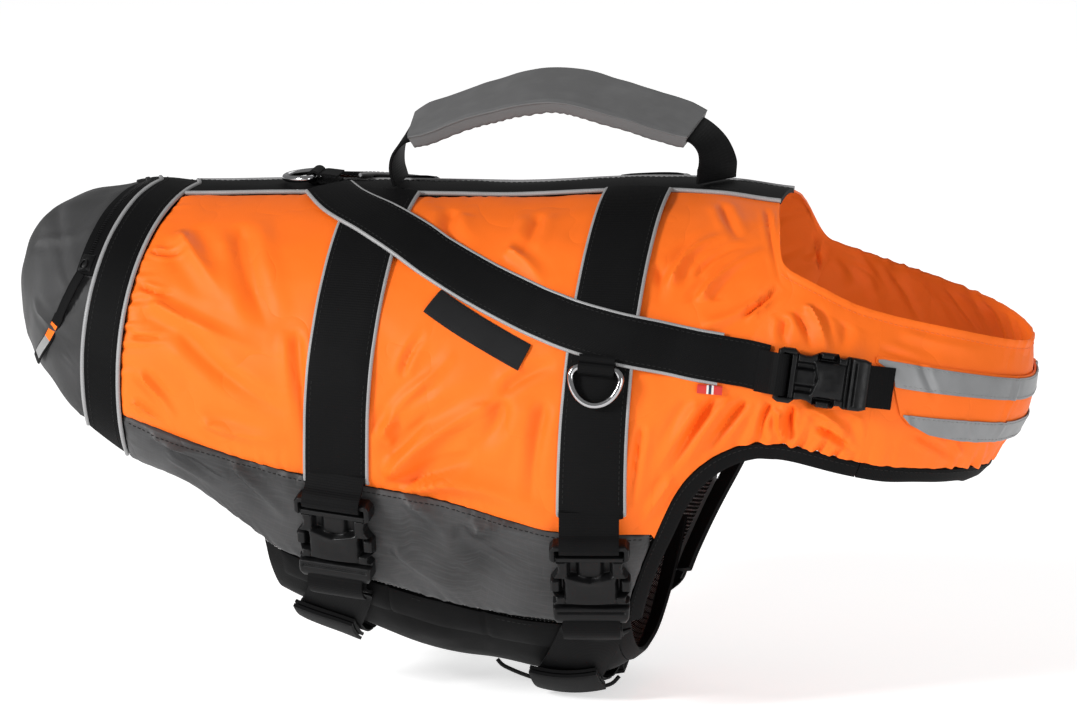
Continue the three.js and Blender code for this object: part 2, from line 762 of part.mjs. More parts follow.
// The same surface with each triangle turned over, as a mirror image needs.
function flipped(geometry) {
  const corners = geometry.index ? geometry.toNonIndexed() : geometry;
  const array = corners.attributes.position.array;
  const turned = new Float32Array(array.length);
  for (let i = 0; i < array.length; i += 9) {
    turned.set(array.slice(i, i + 3), i);
    turned.set(array.slice(i + 6, i + 9), i + 3);
    turned.set(array.slice(i + 3, i + 6), i + 6);
  }
  const geometryTurned = new THREE.BufferGeometry();
  geometryTurned.setAttribute('position', new THREE.BufferAttribute(turned, 3));
  return geometryTurned;
}

const BUCKLE_ANGLE = { rear: 118, front: 120.5 };

function sideBuckle(side, tag, place, x) {
  const angle = BUCKLE_ANGLE[place];
  const down = shell(x, angle + 1).sub(shell(x, angle - 1));
  const lift = restingLift(x, angle, WIDE_BUCKLE.wide / 2, WIDE_BUCKLE.reach, BODY_WALL);
  buckle(`${place}_buckle_${tag}`, WIDE_BUCKLE, x, angle, lift, down, side);
}

const BELLY_STRAP_LIFT = BELLY_LIFT + 3.65; // the straps lie over the belly's lengthwise bands
const BELLY_STRAP_END = 179;
const STRAP_TAIL = { from: 153, to: 168, lift: WEBBING + 1, thick: 6 };
const BELLY_DRIFT = { rear: 16, front: 23 }; // how far back the straps have run by the belly's middle

// The webbing that comes out of a side buckle, runs in under the belly and ends in a folded tail.
function bellyStrap(side, tag, place, x) {
  const start = BUCKLE_ANGLE[place] + 16;
  const inward = BELLY_DRIFT[place];
  const path = steps(start, BELLY_STRAP_END, 9).map((angle) => ({
    p: x - inward * clamp((angle - start) / 25, 0, 1),
    angle,
    lift: angle < hemAngle(x) + 6 ? STRAP_LIFT : BELLY_STRAP_LIFT,
    half: STRAP_HALF - 1,
  }));
  ribbon({ name: `${place}_belly_strap_${tag}`, look: 'black', path, thick: WEBBING, side });
  const tail = steps(STRAP_TAIL.from, STRAP_TAIL.to, 3).map((angle) => ({
    p: x - inward,
    angle,
    lift: BELLY_STRAP_LIFT + STRAP_TAIL.lift,
    half: STRAP_HALF - 1,
  }));
  ribbon({ name: `${place}_strap_tail_${tag}`, look: 'black', path: tail, thick: STRAP_TAIL.thick, side });
}

const SHOULDER_BUCKLE = { p: 213, angle: 81.3, turn: 0.85 };
const CHEST_WEBBING = { ps: [240.3, 242, 243.7, 245.4], angle: 78.6, turn: 0.14, half: 10.8 };

function shoulderBuckle(side, tag) {
  const { p, angle, turn } = SHOULDER_BUCKLE;
  const along = shell(p + 6, angle - turn).sub(shell(p - 6, angle + turn));
  const lift = restingLift(p, angle, SMALL_BUCKLE.long / 2, SMALL_BUCKLE.reach, CLOTH);
  buckle(`shoulder_buckle_${tag}`, SMALL_BUCKLE, p, angle, lift, along, side);
  const path = CHEST_WEBBING.ps.map((q) => ({
    p: q,
    angle: CHEST_WEBBING.angle - CHEST_WEBBING.turn * (q - CHEST_WEBBING.ps[0]),
    lift: CLOTH + LAY,
    half: CHEST_WEBBING.half,
  }));
  ribbon({ name: `chest_webbing_${tag}`, look: 'black', path, thick: WEBBING, side });
}

// ---- Handle: a band that rises from the spine strip, with a padded cover round its top ----
const HANDLE_STEPS = 28;
const HANDLE_WIDE = 38;
const PAD_WIDE = 45;
const PAD_HIGH = 10;
const PAD_START = 4; // the pad starts this many steps from each end
const PAD_SLOT = 0.8; // room for the webbing in the pad's sleeve
const PAD_TILT = 17; // the pad leans over towards -Y by this much
const LEG_YAW = 26; // the front leg's webbing is turned by this much where it meets the spine
const HANDLE = [
  { x: -61, z: 2 + SPINE_TOP },
  { x: -63.5, z: 16 },
  { x: -61.5, z: 27 },
  { x: -54, z: 36.5 },
  { x: -33, z: 45.3 },
  { x: -10, z: 54.5 },
  { x: 18, z: 62.5 },
  { x: 44, z: 64 },
  { x: 68, z: 58.5 },
  { x: 92, z: 52.5 },
  { x: 113, z: 46.5 },
  { x: 123, z: 42.5 },
  { x: 130, z: 35 },
  { x: 133, z: 25 },
  { x: 132.5, z: 10 + SPINE_TOP },
];

function bandLoops(points, wide, high, tilt, yaw) {
  return points.map((q, i) => {
    const next = points[Math.min(i + 1, points.length - 1)];
    const before = points[Math.max(i - 1, 0)];
    const along = next.clone().sub(before).normalize();
    const lean = radians(tilt(i));
    const turn = radians(yaw(i));
    const sideways = vec(-Math.sin(turn) * Math.cos(lean), -Math.cos(turn) * Math.cos(lean), -Math.sin(lean));
    sideways.addScaledVector(along, -sideways.dot(along)).normalize();
    const up = sideways.clone().cross(along).normalize();
    const corner = (a, b) => q.clone().addScaledVector(sideways, a * wide / 2).addScaledVector(up, b * high / 2);
    return [corner(-1, 1), corner(1, 1), corner(1, -1), corner(-1, -1)];
  });
}

function handle() {
  const curve = new THREE.CatmullRomCurve3(HANDLE.map((q) => vec(q.x, 0, q.z)));
  const points = curve.getSpacedPoints(HANDLE_STEPS);
  const last = points.length - 1;
  const blend = (i) => clamp(Math.min(i - 1, last - 1 - i) / 4, 0, 1);
  const tilt = (i) => PAD_TILT * blend(i);
  const yaw = (i) => LEG_YAW * clamp((i - last + PAD_START) / 3, 0, 1);
  const web = fromLoops(bandLoops(points, HANDLE_WIDE, WEBBING, tilt, yaw));
  addMesh('handle_webbing', web, 'black');
  const pad = fromLoops(bandLoops(points, PAD_WIDE, PAD_HIGH, tilt, yaw).slice(PAD_START, last - PAD_START + 1));
  const hole = fromLoops(bandLoops(points, HANDLE_WIDE + PAD_SLOT, WEBBING + PAD_SLOT, tilt, yaw));
  addMesh('handle_pad', geometryOf(manifoldOf(pad).subtract(manifoldOf(hole))), 'grey');
}

// ---- Rings ----
// A D-shaped ring in the plane of its two axes: bar is the length of its straight side.
function dRing(name, centre, barAxis, dropAxis, bar, drop) {
  const points = [];
  const half = bar / 2;
  for (const t of steps(-0.8, 0.8, 4)) points.push([t * half, 0]);
  for (const a of steps(0, 180, 14)) {
    points.push([half * Math.cos(radians(a)), drop * (0.16 + 0.84 * Math.sin(radians(a)))]);
  }
  const route = points.map(([u, v]) => centre.clone().addScaledVector(barAxis, u).addScaledVector(dropAxis, v));
  addMesh(name, fromLoops(wireLoops(route, WIRE, 8, true), true), 'chrome');
}

const LOOP_OUTER = 4.3; // radii of the webbing loop round a ring's bar
const LOOP_INNER = 2.7;

// A loop of webbing round a ring's bar: a sleeve about the bar.
function ringLoop(name, centre, barAxis, wide) {
  const outer = new THREE.Shape();
  const inner = new THREE.Path();
  steps(0, 360, 16).slice(0, 16).forEach((a, i) => {
    const x = Math.cos(radians(a));
    const y = Math.sin(radians(a));
    if (i === 0) outer.moveTo(x * LOOP_OUTER, y * LOOP_OUTER);
    else outer.lineTo(x * LOOP_OUTER, y * LOOP_OUTER);
    if (i === 0) inner.moveTo(x * LOOP_INNER, y * LOOP_INNER);
    else inner.lineTo(x * LOOP_INNER, y * LOOP_INNER);
  });
  outer.holes.push(inner);
  const geometry = new THREE.ExtrudeGeometry(outer, { depth: wide, bevelEnabled: false });
  const first = vec(0, 0, 1).cross(barAxis).normalize();
  const second = barAxis.clone().cross(first);
  const frame = new THREE.Matrix4().makeBasis(first, second, barAxis);
  frame.setPosition(centre.clone().addScaledVector(barAxis, -wide / 2));
  geometry.applyMatrix4(frame);
  addMesh(name, geometryOf(manifoldOf(geometry)), 'black');
}

const FALL = 0.1; // how far the ring on the back slopes down from its bar, in radians
const TOP_RING = { x: -113, lift: 7.6, bar: 27, drop: 19, loop: 19 };
const SIDE_RING = { angle: 71.8, lift: STRAP_LIFT + WEBBING + 4.8, bar: 31, drop: 22, loop: 22 };

function rings() {
  const top = vec(TOP_RING.x, 0, TOP_RING.lift);
  const slope = vec(-Math.cos(FALL), 0, -Math.sin(FALL));
  dRing('back_ring', top, vec(0, 1, 0), slope, TOP_RING.bar, TOP_RING.drop);
  ringLoop('back_ring_loop', top, vec(0, 1, 0), TOP_RING.loop);
  const centre = lifted(FRONT_STRAP_X, SIDE_RING.angle, SIDE_RING.lift);
  const foot = shell(FRONT_STRAP_X, SIDE_RING.angle + 9);
  const down = foot.sub(shell(FRONT_STRAP_X, SIDE_RING.angle - 1)).normalize();
  const bar = vec(1, 0, 0);
  bar.addScaledVector(down, -bar.dot(down)).normalize();
  dRing('side_ring', centre, bar, down, SIDE_RING.bar, SIDE_RING.drop);
  ringLoop('side_ring_loop', centre, bar, SIDE_RING.loop);
}

// ---- Elastic cord under the belly, held at both ends ----
const CORD_RADIUS = 1.25;
const CORD_ROUTE = [
  [0, -8, -283.4], [3, -8.5, -286.5], [9, -9, -289.2], [17, -10, -291.8], [26, -10.5, -294.2], [36, -11, -296.3],
  [47, -11, -297.5], [57, -10.5, -297], [65, -10, -297], [71, -9, -295], [75, -8, -290.8],
];

function elasticCord() {
  const curve = new THREE.CatmullRomCurve3(CORD_ROUTE.map(([x, y, z]) => vec(x, y, z)));
  const section = new THREE.Shape();
  steps(0, 315, 7).forEach((a, i) => {
    const x = CORD_RADIUS * Math.cos(radians(a));
    const y = CORD_RADIUS * Math.sin(radians(a));
    if (i === 0) section.moveTo(x, y);
    else section.lineTo(x, y);
  });
  const geometry = new THREE.ExtrudeGeometry(section, { steps: 18, extrudePath: curve, bevelEnabled: false });
  addMesh('elastic_cord', geometryOf(manifoldOf(geometry)), 'black');
}

// ---- Patches ----
const SIDE_PATCH = { from: -14, to: 46, below: 12.9, half: 8.5, thick: 1 };
const FLAG = { from: 146, to: 159, below: 9.8, half: 2.2, thick: 0.8 };

function patches() {
  const label = steps(SIDE_PATCH.from, SIDE_PATCH.to, 5).map((p) => ({
    p,
    angle: column(SHOULDER_PATH, 'angle', p) + SIDE_PATCH.below,
    lift: BODY_WALL + LAY,
    half: SIDE_PATCH.half,
  }));
  ribbon({ name: 'side_patch', look: 'patch', path: label, thick: SIDE_PATCH.thick });
  const flag = steps(FLAG.from, FLAG.to, 2).map((p) => ({
    p,
    angle: column(SHOULDER_PATH, 'angle', p) + FLAG.below,
    lift: CLOTH + LAY,
    half: FLAG.half,
  }));
  ribbon({ name: 'flag_tag', look: 'red', path: flag, thick: FLAG.thick });
}

rear();
for (const [side, tag] of [[1, 'near'], [-1, 'far']]) {
  sidePanels(side, tag);
  shoulderPanel(side, tag);
  girthStrap(side, tag, 'rear', REAR_STRAP_X);
  girthStrap(side, tag, 'front', FRONT_STRAP_X);
  shoulderStrap(side, tag);
  sideBuckle(side, tag, 'rear', REAR_STRAP_X);
  sideBuckle(side, tag, 'front', FRONT_STRAP_X);
  bellyStrap(side, tag, 'rear', REAR_STRAP_X);
  bellyStrap(side, tag, 'front', FRONT_STRAP_X);
  shoulderBuckle(side, tag);
}
spineStrip();
chestPieces();
bindings();
belly();
handle();
rings();
elasticCord();
patches();

export default jacket;
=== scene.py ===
import math
import bmesh
import bpy
import numpy as np
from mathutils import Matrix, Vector, noise
from mathutils.bvhtree import BVHTree


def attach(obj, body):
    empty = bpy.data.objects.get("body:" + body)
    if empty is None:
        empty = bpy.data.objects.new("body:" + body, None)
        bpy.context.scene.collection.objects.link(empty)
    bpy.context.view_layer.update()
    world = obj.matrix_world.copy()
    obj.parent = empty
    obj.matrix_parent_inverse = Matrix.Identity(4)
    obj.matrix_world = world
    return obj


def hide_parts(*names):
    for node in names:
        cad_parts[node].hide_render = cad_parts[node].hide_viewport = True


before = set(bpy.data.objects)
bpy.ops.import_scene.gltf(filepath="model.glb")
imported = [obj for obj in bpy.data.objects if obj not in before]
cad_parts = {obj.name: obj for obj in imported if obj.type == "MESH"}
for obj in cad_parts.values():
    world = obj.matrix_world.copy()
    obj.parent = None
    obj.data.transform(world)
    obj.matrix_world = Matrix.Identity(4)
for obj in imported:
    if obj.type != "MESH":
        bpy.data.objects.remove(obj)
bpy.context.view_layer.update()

# ---- The jacket's surface. Millimetres; the same sections and edges as the solid model ----
MM = 0.001
SEAM = 0.35
BODY_WALL = 3.0
BODY_LINING = -3.0
CLOTH = 2.4
WEBBING = 2.0
LAY = 0.5
STRAP_LIFT = BODY_WALL + 0.8
STRAP_HALF = 20.5
SHOULDER_HALF = 15.5
SPINE_HALF = 21.0
SPINE_TOP = 3.6
BINDING = 10.0
NECK_X = 187.0
CHEST_ARC = 180.0
FRONT_X = NECK_X + CHEST_ARC
RIM_ANGLE = 47.5
HEM_ANGLE = 109.0
RIM_X, RIM_Z, HEM_Z, FRONT_BELLY, FRONT_TUCK, TUCK_POWER = 323.0, -73.0, -149.0, 4.0, 28.0, 2.6
HIP_REAR, HIP_FRONT = -209.0, -184.0
REAR_STRAP_X = -62.0
FRONT_STRAP_X = 90.0
SPINE_END = 176.0
SHOULDER_SEAM = 240.0

# x, top, wide, low, half, lean, sweep
SECTIONS = np.array([
    (-290, -52, -70, -88, 3, -1, 0),
    (-284, -34, -68, -100, 26, -3, 0),
    (-270, -20, -70, -120, 49, -8, 0),
    (-252, -11, -78, -138, 69, -14, 0),
    (-232, -8, -86, -152, 84, -21, 0),
    (-209, -3, -94, -162, 94, -26, 0),
    (-184, -4, -100, -174, 99, -27, 0),
    (-125, -1, -112, -238, 107, -18, -3),
    (-62, 1, -120, -268, 113, -8, -9),
    (-22, 2, -123, -282, 115, -5, -11),
    (15, 3, -125, -286, 117, -3, -14),
    (90, 9, -125, -291, 118, 1, -18),
    (140, 9, -108, -240, 109, 0, -8),
    (170, 6, -97, -200, 101, 0, -1),
    (NECK_X, 5, -95, -190, 100, 0, 0),
], dtype=float)
# x and height of each edge that runs along the body
LOWER_HEM = np.array([
    (-290, -80), (-270, -93), (-252, -103), (-232, -115), (-209, -132), (-184, -152), (-145, -168),
    (-122, -186), (-95, -206), (-40, -221), (25, -236), (105, -243),
], dtype=float)
COLOUR_SEAM = np.array([
    (-184, -125), (-140, -140), (-85, -154), (-5, -165), (45, -177), (68, -182), (125, -183),
], dtype=float)
LEG_EDGE = np.array([
    (105, -243), (108, -230), (115, -207), (124, -183), (134, -159), (146, -142), (160, -131), (175, -126),
    (NECK_X, -126),
], dtype=float)
RIM_TURN = {
    1: np.array([
        (SPINE_END, 12.6), (178, 19.5), (181, 27), (185, 39), (189, 45), (196, 48), (210, 49.9), (225, 50.3),
        (240, 49.3), (260, 48.7), (300, 49), (FRONT_X, 49.3),
    ]),
    -1: np.array([
        (SPINE_END, 12.6), (177, 26), (179, 42), (183, 52), (190, 56), (200, 57.5), (212, 56.5), (240, 51.3),
        (260, 49.7), (300, 49), (FRONT_X, 49.3),
    ]),
}
SHOULDER_PATH = np.array([
    (-104, 6), (-84, 19), (-60, 27.5), (-33, 36), (-3, 44.5), (35, 53.5), (66, 59.5), (96, 64), (125, 69),
    (150, 74.5), (170, 79), (189, 82),
], dtype=float)


def column(table, k, x):
    """Smooth values of column k of a table whose first column is x."""
    xs, ys = table[:, 0], table[:, k]
    x = np.clip(np.asarray(x, dtype=float), xs[0], xs[-1])
    i = np.clip(np.searchsorted(xs, x, side="right") - 1, 0, len(xs) - 2)
    before = np.maximum(np.arange(len(xs)) - 1, 0)
    after = np.minimum(np.arange(len(xs)) + 1, len(xs) - 1)
    slope = (ys[after] - ys[before]) / (xs[after] - xs[before])
    span = xs[i + 1] - xs[i]
    t = (x - xs[i]) / span
    start = ys[i] * (1 + 2 * t) * (1 - t) ** 2 + slope[i] * span * t * (1 - t) ** 2
    return start + ys[i + 1] * ease(t) - slope[i + 1] * span * t * t * (1 - t)


def torso(x, angle):
    top, wide, low, half, lean, sweep = (column(SECTIONS, k, x) for k in range(1, 7))
    c, s = np.cos(np.radians(angle)), np.sin(np.radians(angle))
    reach = np.where(c > 0, top - wide, wide - low)
    shift = lean * np.where(c > 0, np.abs(s), 1) + sweep * (1 - c) / 2
    return np.stack([x + shift, -half * s, wide + reach * c], axis=-1)


def chest(turn, drop):
    side = torso(np.full_like(drop, NECK_X), RIM_ANGLE + (HEM_ANGLE - RIM_ANGLE) * drop)
    front_x = RIM_X + FRONT_BELLY * drop - FRONT_TUCK * np.maximum(drop, 0) ** TUCK_POWER
    front_z = RIM_Z + (HEM_Z - RIM_Z) * drop
    s, c = np.sin(np.radians(turn)), np.cos(np.radians(turn))
    high = 0.55 * np.abs(s) ** 1.8 + 0.45 * np.abs(s) ** 16
    x = NECK_X + (front_x - NECK_X) * c
    return np.stack([x, side[..., 1] * s, front_z + (side[..., 2] - front_z) * high], axis=-1)


def shell(p, angle):
    """The base surface. p is the section's x up to the neck and then the length along the chest."""
    p, angle = np.broadcast_arrays(np.asarray(p, dtype=float), np.asarray(angle, dtype=float))
    body = torso(np.minimum(p, NECK_X), angle)
    turn = 90 * (1 - (np.maximum(p, NECK_X) - NECK_X) / CHEST_ARC)
    front = chest(turn, (angle - RIM_ANGLE) / (HEM_ANGLE - RIM_ANGLE))
    return np.where((p <= NECK_X)[..., None], body, front)


def ease(t):
    """Goes smoothly from 0 to 1."""
    return t * t * (3 - 2 * t)


def bell(x, centre, width):
    return np.exp(-(((x - centre) / width) ** 2))


def unit(v):
    return v / np.maximum(np.linalg.norm(v, axis=-1, keepdims=True), 1e-9)


def outward(p, angle):
    along = shell(p + 0.5, angle) - shell(p - 0.5, angle)
    around = shell(p, angle + 0.5) - shell(p, angle - 0.5)
    return unit(np.cross(around, along))


def lifted(p, angle, lift):
    lift = np.asarray(lift, dtype=float)
    return shell(p, angle) + outward(p, angle) * lift[..., None]


def angle_at(x, z):
    top, wide, low = (column(SECTIONS, k, x) for k in (1, 2, 3))
    upper = np.degrees(np.arccos(np.clip((z - wide) / (top - wide), -1, 1)))
    lower = 90 + np.degrees(np.arcsin(np.clip((wide - z) / (wide - low), -1, 1)))
    return np.where(z > wide, upper, lower)


def turn_for(x, length):
    return np.degrees(length / column(SECTIONS, 4, x))


def spine_angle(x):
    return np.degrees(np.arcsin(SPINE_HALF / column(SECTIONS, 4, x)))


def hem_angle(x):
    return angle_at(x, column(LOWER_HEM, 1, x))


def colour_angle(x):
    return angle_at(x, column(COLOUR_SEAM, 1, x))


def leg_angle(x):
    return np.where(x < NECK_X, angle_at(np.minimum(x, NECK_X), column(LEG_EDGE, 1, x)), HEM_ANGLE)


def rim_angle(p, side):
    low = spine_angle(p) + turn_for(p, SEAM)
    return np.where(p < SPINE_END, low, column(RIM_TURN[side], 1, np.minimum(p, 2 * FRONT_X - p)))


# ---- Materials: every pattern is measured in metres, along the cloth (UV) or in the object's own frame ----
class Look:
    """A node tree with short ways to add nodes to it."""

    def __init__(self, name, colour, rough, **sockets):
        self.material = bpy.data.materials.new(name)
        self.material.use_nodes = True
        self.tree = self.material.node_tree
        self.shader = self.tree.nodes["Principled BSDF"]
        self.shader.inputs["Base Color"].default_value = (*colour, 1)
        self.shader.inputs["Roughness"].default_value = rough
        for key, value in sockets.items():
            self.shader.inputs[key.replace("_", " ")].default_value = value
        self.colour = colour
        uv = self.add("ShaderNodeUVMap")
        uv.uv_map = "UVMap"
        split = self.add("ShaderNodeSeparateXYZ")
        self.link(uv.outputs[0], split.inputs[0])
        self.u, self.v = split.outputs[0], split.outputs[1]
        self.place = self.add("ShaderNodeTexCoord").outputs["Object"]

    def add(self, kind):
        return self.tree.nodes.new(kind)

    def link(self, a, b):
        self.tree.links.new(a, b)

    def math(self, operation, a, b=0.0, c=0.0):
        node = self.add("ShaderNodeMath")
        node.operation = operation
        for socket, value in zip(node.inputs, (a, b, c)):
            if isinstance(value, (int, float)):
                socket.default_value = value
            else:
                self.link(value, socket)
        return node.outputs[0]

    def wave(self, coordinate, period):
        """0 to 1, once in each period."""
        turn = self.math("MULTIPLY", coordinate, 2 * math.pi / period)
        return self.math("MULTIPLY_ADD", self.math("SINE", turn), 0.5, 0.5)

    def noise(self, size, detail=2.0, stretch=None):
        """0 to 1, with spots of the given size."""
        node = self.add("ShaderNodeTexNoise")
        node.inputs["Scale"].default_value = 1 / size
        node.inputs["Detail"].default_value = detail
        if stretch is None:
            self.link(self.place, node.inputs["Vector"])
        else:
            mapping = self.add("ShaderNodeMapping")
            mapping.inputs["Scale"].default_value = stretch
            joined = self.add("ShaderNodeCombineXYZ")
            self.link(self.u, joined.inputs[0])
            self.link(self.v, joined.inputs[1])
            self.link(joined.outputs[0], mapping.inputs[0])
            self.link(mapping.outputs[0], node.inputs["Vector"])
        return node.outputs["Fac"]

    def span(self, value, low, high, to_low, to_high):
        node = self.add("ShaderNodeMapRange")
        self.link(value, node.inputs[0])
        for k, number in enumerate((low, high, to_low, to_high), start=1):
            node.inputs[k].default_value = number
        return node.outputs[0]

    def tint(self, factor, other):
        """Mixes another colour into the base colour."""
        node = self.add("ShaderNodeMix")
        node.data_type = "RGBA"
        base = self.shader.inputs["Base Color"]
        if base.links:
            self.link(base.links[0].from_socket, node.inputs[6])
        else:
            node.inputs[6].default_value = (*self.colour, 1)
        node.inputs[7].default_value = (*other, 1)
        self.link(factor, node.inputs[0])
        self.link(node.outputs[2], base)

    def bump(self, height, depth, strength=1.0):
        node = self.add("ShaderNodeBump")
        node.inputs["Strength"].default_value = strength
        node.inputs["Distance"].default_value = depth
        self.link(height, node.inputs["Height"])
        normal = self.shader.inputs["Normal"]
        if normal.links:
            self.link(normal.links[0].from_socket, node.inputs["Normal"])
        self.link(node.outputs[0], normal)

    def rough(self, value):
        self.link(value, self.shader.inputs["Roughness"])


def shade(colour, k):
    return tuple(min(c * k, 1) for c in colour)


CRUMPLE = 0.0004


def woven(name, colour, rough, thread, depth, sheen=0.0, ripstop=None, streak=0.0, wrinkle=0.0, **sockets):
    """Plain-woven cloth; ripstop is the pitch of its stronger threads, wrinkle the depth of its folds."""
    look = Look(name, colour, rough, Sheen_Weight=sheen, Sheen_Roughness=0.4, **sockets)
    if wrinkle:
        fold = look.noise(0.055, 2)
        ridge = look.math("ABSOLUTE", look.math("SUBTRACT", fold, 0.5))
        look.bump(look.math("POWER", look.math("MULTIPLY", ridge, 2.0), 0.6), wrinkle, 0.45)
    over = look.wave(look.u, thread)
    under = look.wave(look.v, thread)
    plain = look.math("ABSOLUTE", look.math("SUBTRACT", over, under))
    soft = look.noise(0.018, 3)
    look.bump(soft, CRUMPLE, 0.6)
    look.bump(plain, depth, 0.5)
    # Darker where the weave's height is low: painted shade in the hollows between the threads.
    look.tint(look.span(plain, 0, 1, 0.16, 0), shade(colour, 0.45))
    look.tint(look.span(look.noise(0.05, 2), 0.35, 0.7, 0, 0.3), shade(colour, 0.82))
    if ripstop:
        lines = []
        for axis in (look.u, look.v):
            lines.append(look.math("POWER", look.wave(axis, ripstop), 60))
        line = look.math("MAXIMUM", *lines)
        look.bump(line, depth, 0.6)
        look.tint(look.math("MULTIPLY", line, 0.14), shade(colour, 1.9))
        # Broad dark patches at random places: painted shade, standing in for the cloth's broad shading.
        look.tint(look.span(look.noise(0.06, 1), 0.4, 0.58, 0, 0.75), shade(colour, 0.42))
    if streak:
        fine = look.noise(0.001, 2, (0.06, 0.7, 1))
        look.tint(look.span(fine, 0.45, 0.7, 0, streak), shade(colour, 1.8))
        look.bump(fine, depth, 0.4)
    look.rough(look.span(look.noise(0.03, 2), 0.3, 0.7, rough - 0.06, rough + 0.08))
    return look.material


def ribbed(name, colour, rough, period, depth, across="u", **sockets):
    """Webbing or binding: ribs of the given period, and fine threads that cross them."""
    look = Look(name, colour, rough, **sockets)
    first, second = (look.u, look.v) if across == "u" else (look.v, look.u)
    rib = look.wave(first, period)
    thread = look.wave(second, period * 0.7)
    knit = look.math("MULTIPLY", rib, look.math("MULTIPLY_ADD", thread, 0.5, 0.5))
    look.bump(knit, depth, 0.8)
    # Lighter where the knit's height is high: painted highlight on the crests of the ribs and threads.
    look.tint(look.span(knit, 0, 1, 0.0, 0.35), shade(colour, 1.9))
    look.tint(look.span(look.noise(0.02, 3), 0.45, 0.75, 0, 0.35), shade(colour, 1.6))
    return look.material


def plastic(name, colour):
    look = Look(name, colour, 0.36, Specular_IOR_Level=0.2)
    grain = look.noise(0.0006, 2)
    look.bump(grain, 0.00004, 0.5)
    look.rough(look.span(look.noise(0.004, 3), 0.3, 0.7, 0.3, 0.48))
    look.tint(look.span(look.noise(0.003, 4), 0.62, 0.75, 0, 0.25), shade(colour, 3))
    return look.material


DULL = {"Specular_IOR_Level": 0.07}


def meshed(name):
    """Knitted mesh: black, with pale dots where its holes show the layer below."""
    look = Look(name, (0.01, 0.01, 0.01), 0.7, **DULL)
    pitch = 0.0026
    row = look.math("FLOOR", look.math("DIVIDE", look.v, pitch))
    odd = look.math("MULTIPLY", look.math("MODULO", look.math("ABSOLUTE", row), 2), pitch / 2)
    a = look.wave(look.math("ADD", look.u, odd), pitch)
    b = look.wave(look.math("ADD", look.v, pitch * 0.25), pitch)
    hole = look.span(look.math("MULTIPLY", a, b), 0.52, 0.66, 0, 1)
    look.tint(hole, (0.5, 0.5, 0.5))
    look.bump(hole, -0.0004, 0.8)
    return look.material


ORANGE = (1.0, 0.172, 0.014)
BLACK = (0.0034, 0.0034, 0.0036)
orange = woven("orange_nylon", ORANGE, 0.5, 0.00055, 0.00003, wrinkle=0.0022, Specular_IOR_Level=0.16)
ripstop = woven(
    "grey_ripstop", (0.048, 0.048, 0.049), 0.48, 0.0006, 0.00003, ripstop=0.0046, streak=0.22,
    wrinkle=0.0022, Specular_IOR_Level=0.3,
)
rump_cloth = woven(
    "dark_nylon", (0.046, 0.046, 0.047), 0.55, 0.0006, 0.00003, sheen=0.03, ripstop=0.0042,
    Specular_IOR_Level=0.3,
)
black_cloth = woven("black_nylon", BLACK, 0.62, 0.0007, 0.00004, **DULL)
grip_cloth = woven(
    "handle_cover", (0.118, 0.118, 0.119), 0.6, 0.0007, 0.00004, sheen=0.05, streak=0.15,
    Specular_IOR_Level=0.25,
)
band_cloth = ribbed("reflective_tape", (0.185, 0.188, 0.192), 0.38, 0.0006, 0.00002)
label_cloth = ribbed("bare_patch", (0.011, 0.011, 0.0115), 0.6, 0.0006, 0.00003, **DULL)
webbing = ribbed("black_webbing", BLACK, 0.62, 0.0016, 0.00012, **DULL)
binding = ribbed("black_binding", BLACK, 0.62, 0.0011, 0.0001, **DULL)
piping = ribbed("reflective_piping", (0.25, 0.25, 0.252), 0.42, 0.001, 0.00003)
buckle_plastic = plastic("black_plastic", (0.004, 0.004, 0.0043))
lining = meshed("mesh_lining")
thread_black = ribbed("black_thread", (0.014, 0.014, 0.014), 0.6, 0.0006, 0.00005, **DULL)
thread_orange = ribbed("orange_thread", (0.75, 0.13, 0.02), 0.6, 0.0006, 0.00005)
thread_grey = ribbed("grey_thread", (0.2, 0.2, 0.2), 0.6, 0.0006, 0.00005)


# ---- Building meshes ----
SIDES = ((1, "near"), (-1, "far"))


def placed(name, data):
    """A new object in the scene."""
    thing = bpy.data.objects.new(name, data)
    bpy.context.scene.collection.objects.link(thing)
    return thing


def put(name, points, faces, materials, uvs=None, slots=None, smooth=True, sharp=50):
    """A mesh object from points in millimetres. uvs go with the points, slots with the faces."""
    mesh = bpy.data.meshes.new(name)
    mesh.from_pydata((np.asarray(points, dtype=float) * MM).tolist(), [], faces)
    for material in materials:
        mesh.materials.append(material)
    if slots is not None:
        mesh.polygons.foreach_set("material_index", np.asarray(slots, dtype=np.int32))
    if uvs is not None:
        corners = np.empty(len(mesh.loops), dtype=np.int32)
        mesh.loops.foreach_get("vertex_index", corners)
        layer = mesh.uv_layers.new(name="UVMap")
        layer.data.foreach_set("uv", (np.asarray(uvs)[corners] * MM).ravel())
    bm = bmesh.new()
    bm.from_mesh(mesh)
    bmesh.ops.recalc_face_normals(bm, faces=bm.faces)
    bm.to_mesh(mesh)
    bm.free()
    if smooth:
        mesh.shade_smooth()
        mesh.set_sharp_from_angle(angle=math.radians(sharp))
    return placed(name, mesh)


def belongs(thing, nodes=(), body="jacket"):
    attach(thing, body)
    if nodes:
        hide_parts(*nodes)
    return thing


def lengths(points):
    """Distances along both directions of a grid of points, from its first row and column."""
    u = np.zeros(points.shape[:2])
    v = np.zeros(points.shape[:2])
    u[1:] = np.cumsum(np.linalg.norm(np.diff(points, axis=0), axis=-1), axis=0)
    v[:, 1:] = np.cumsum(np.linalg.norm(np.diff(points, axis=1), axis=-1), axis=1)
    return u, v


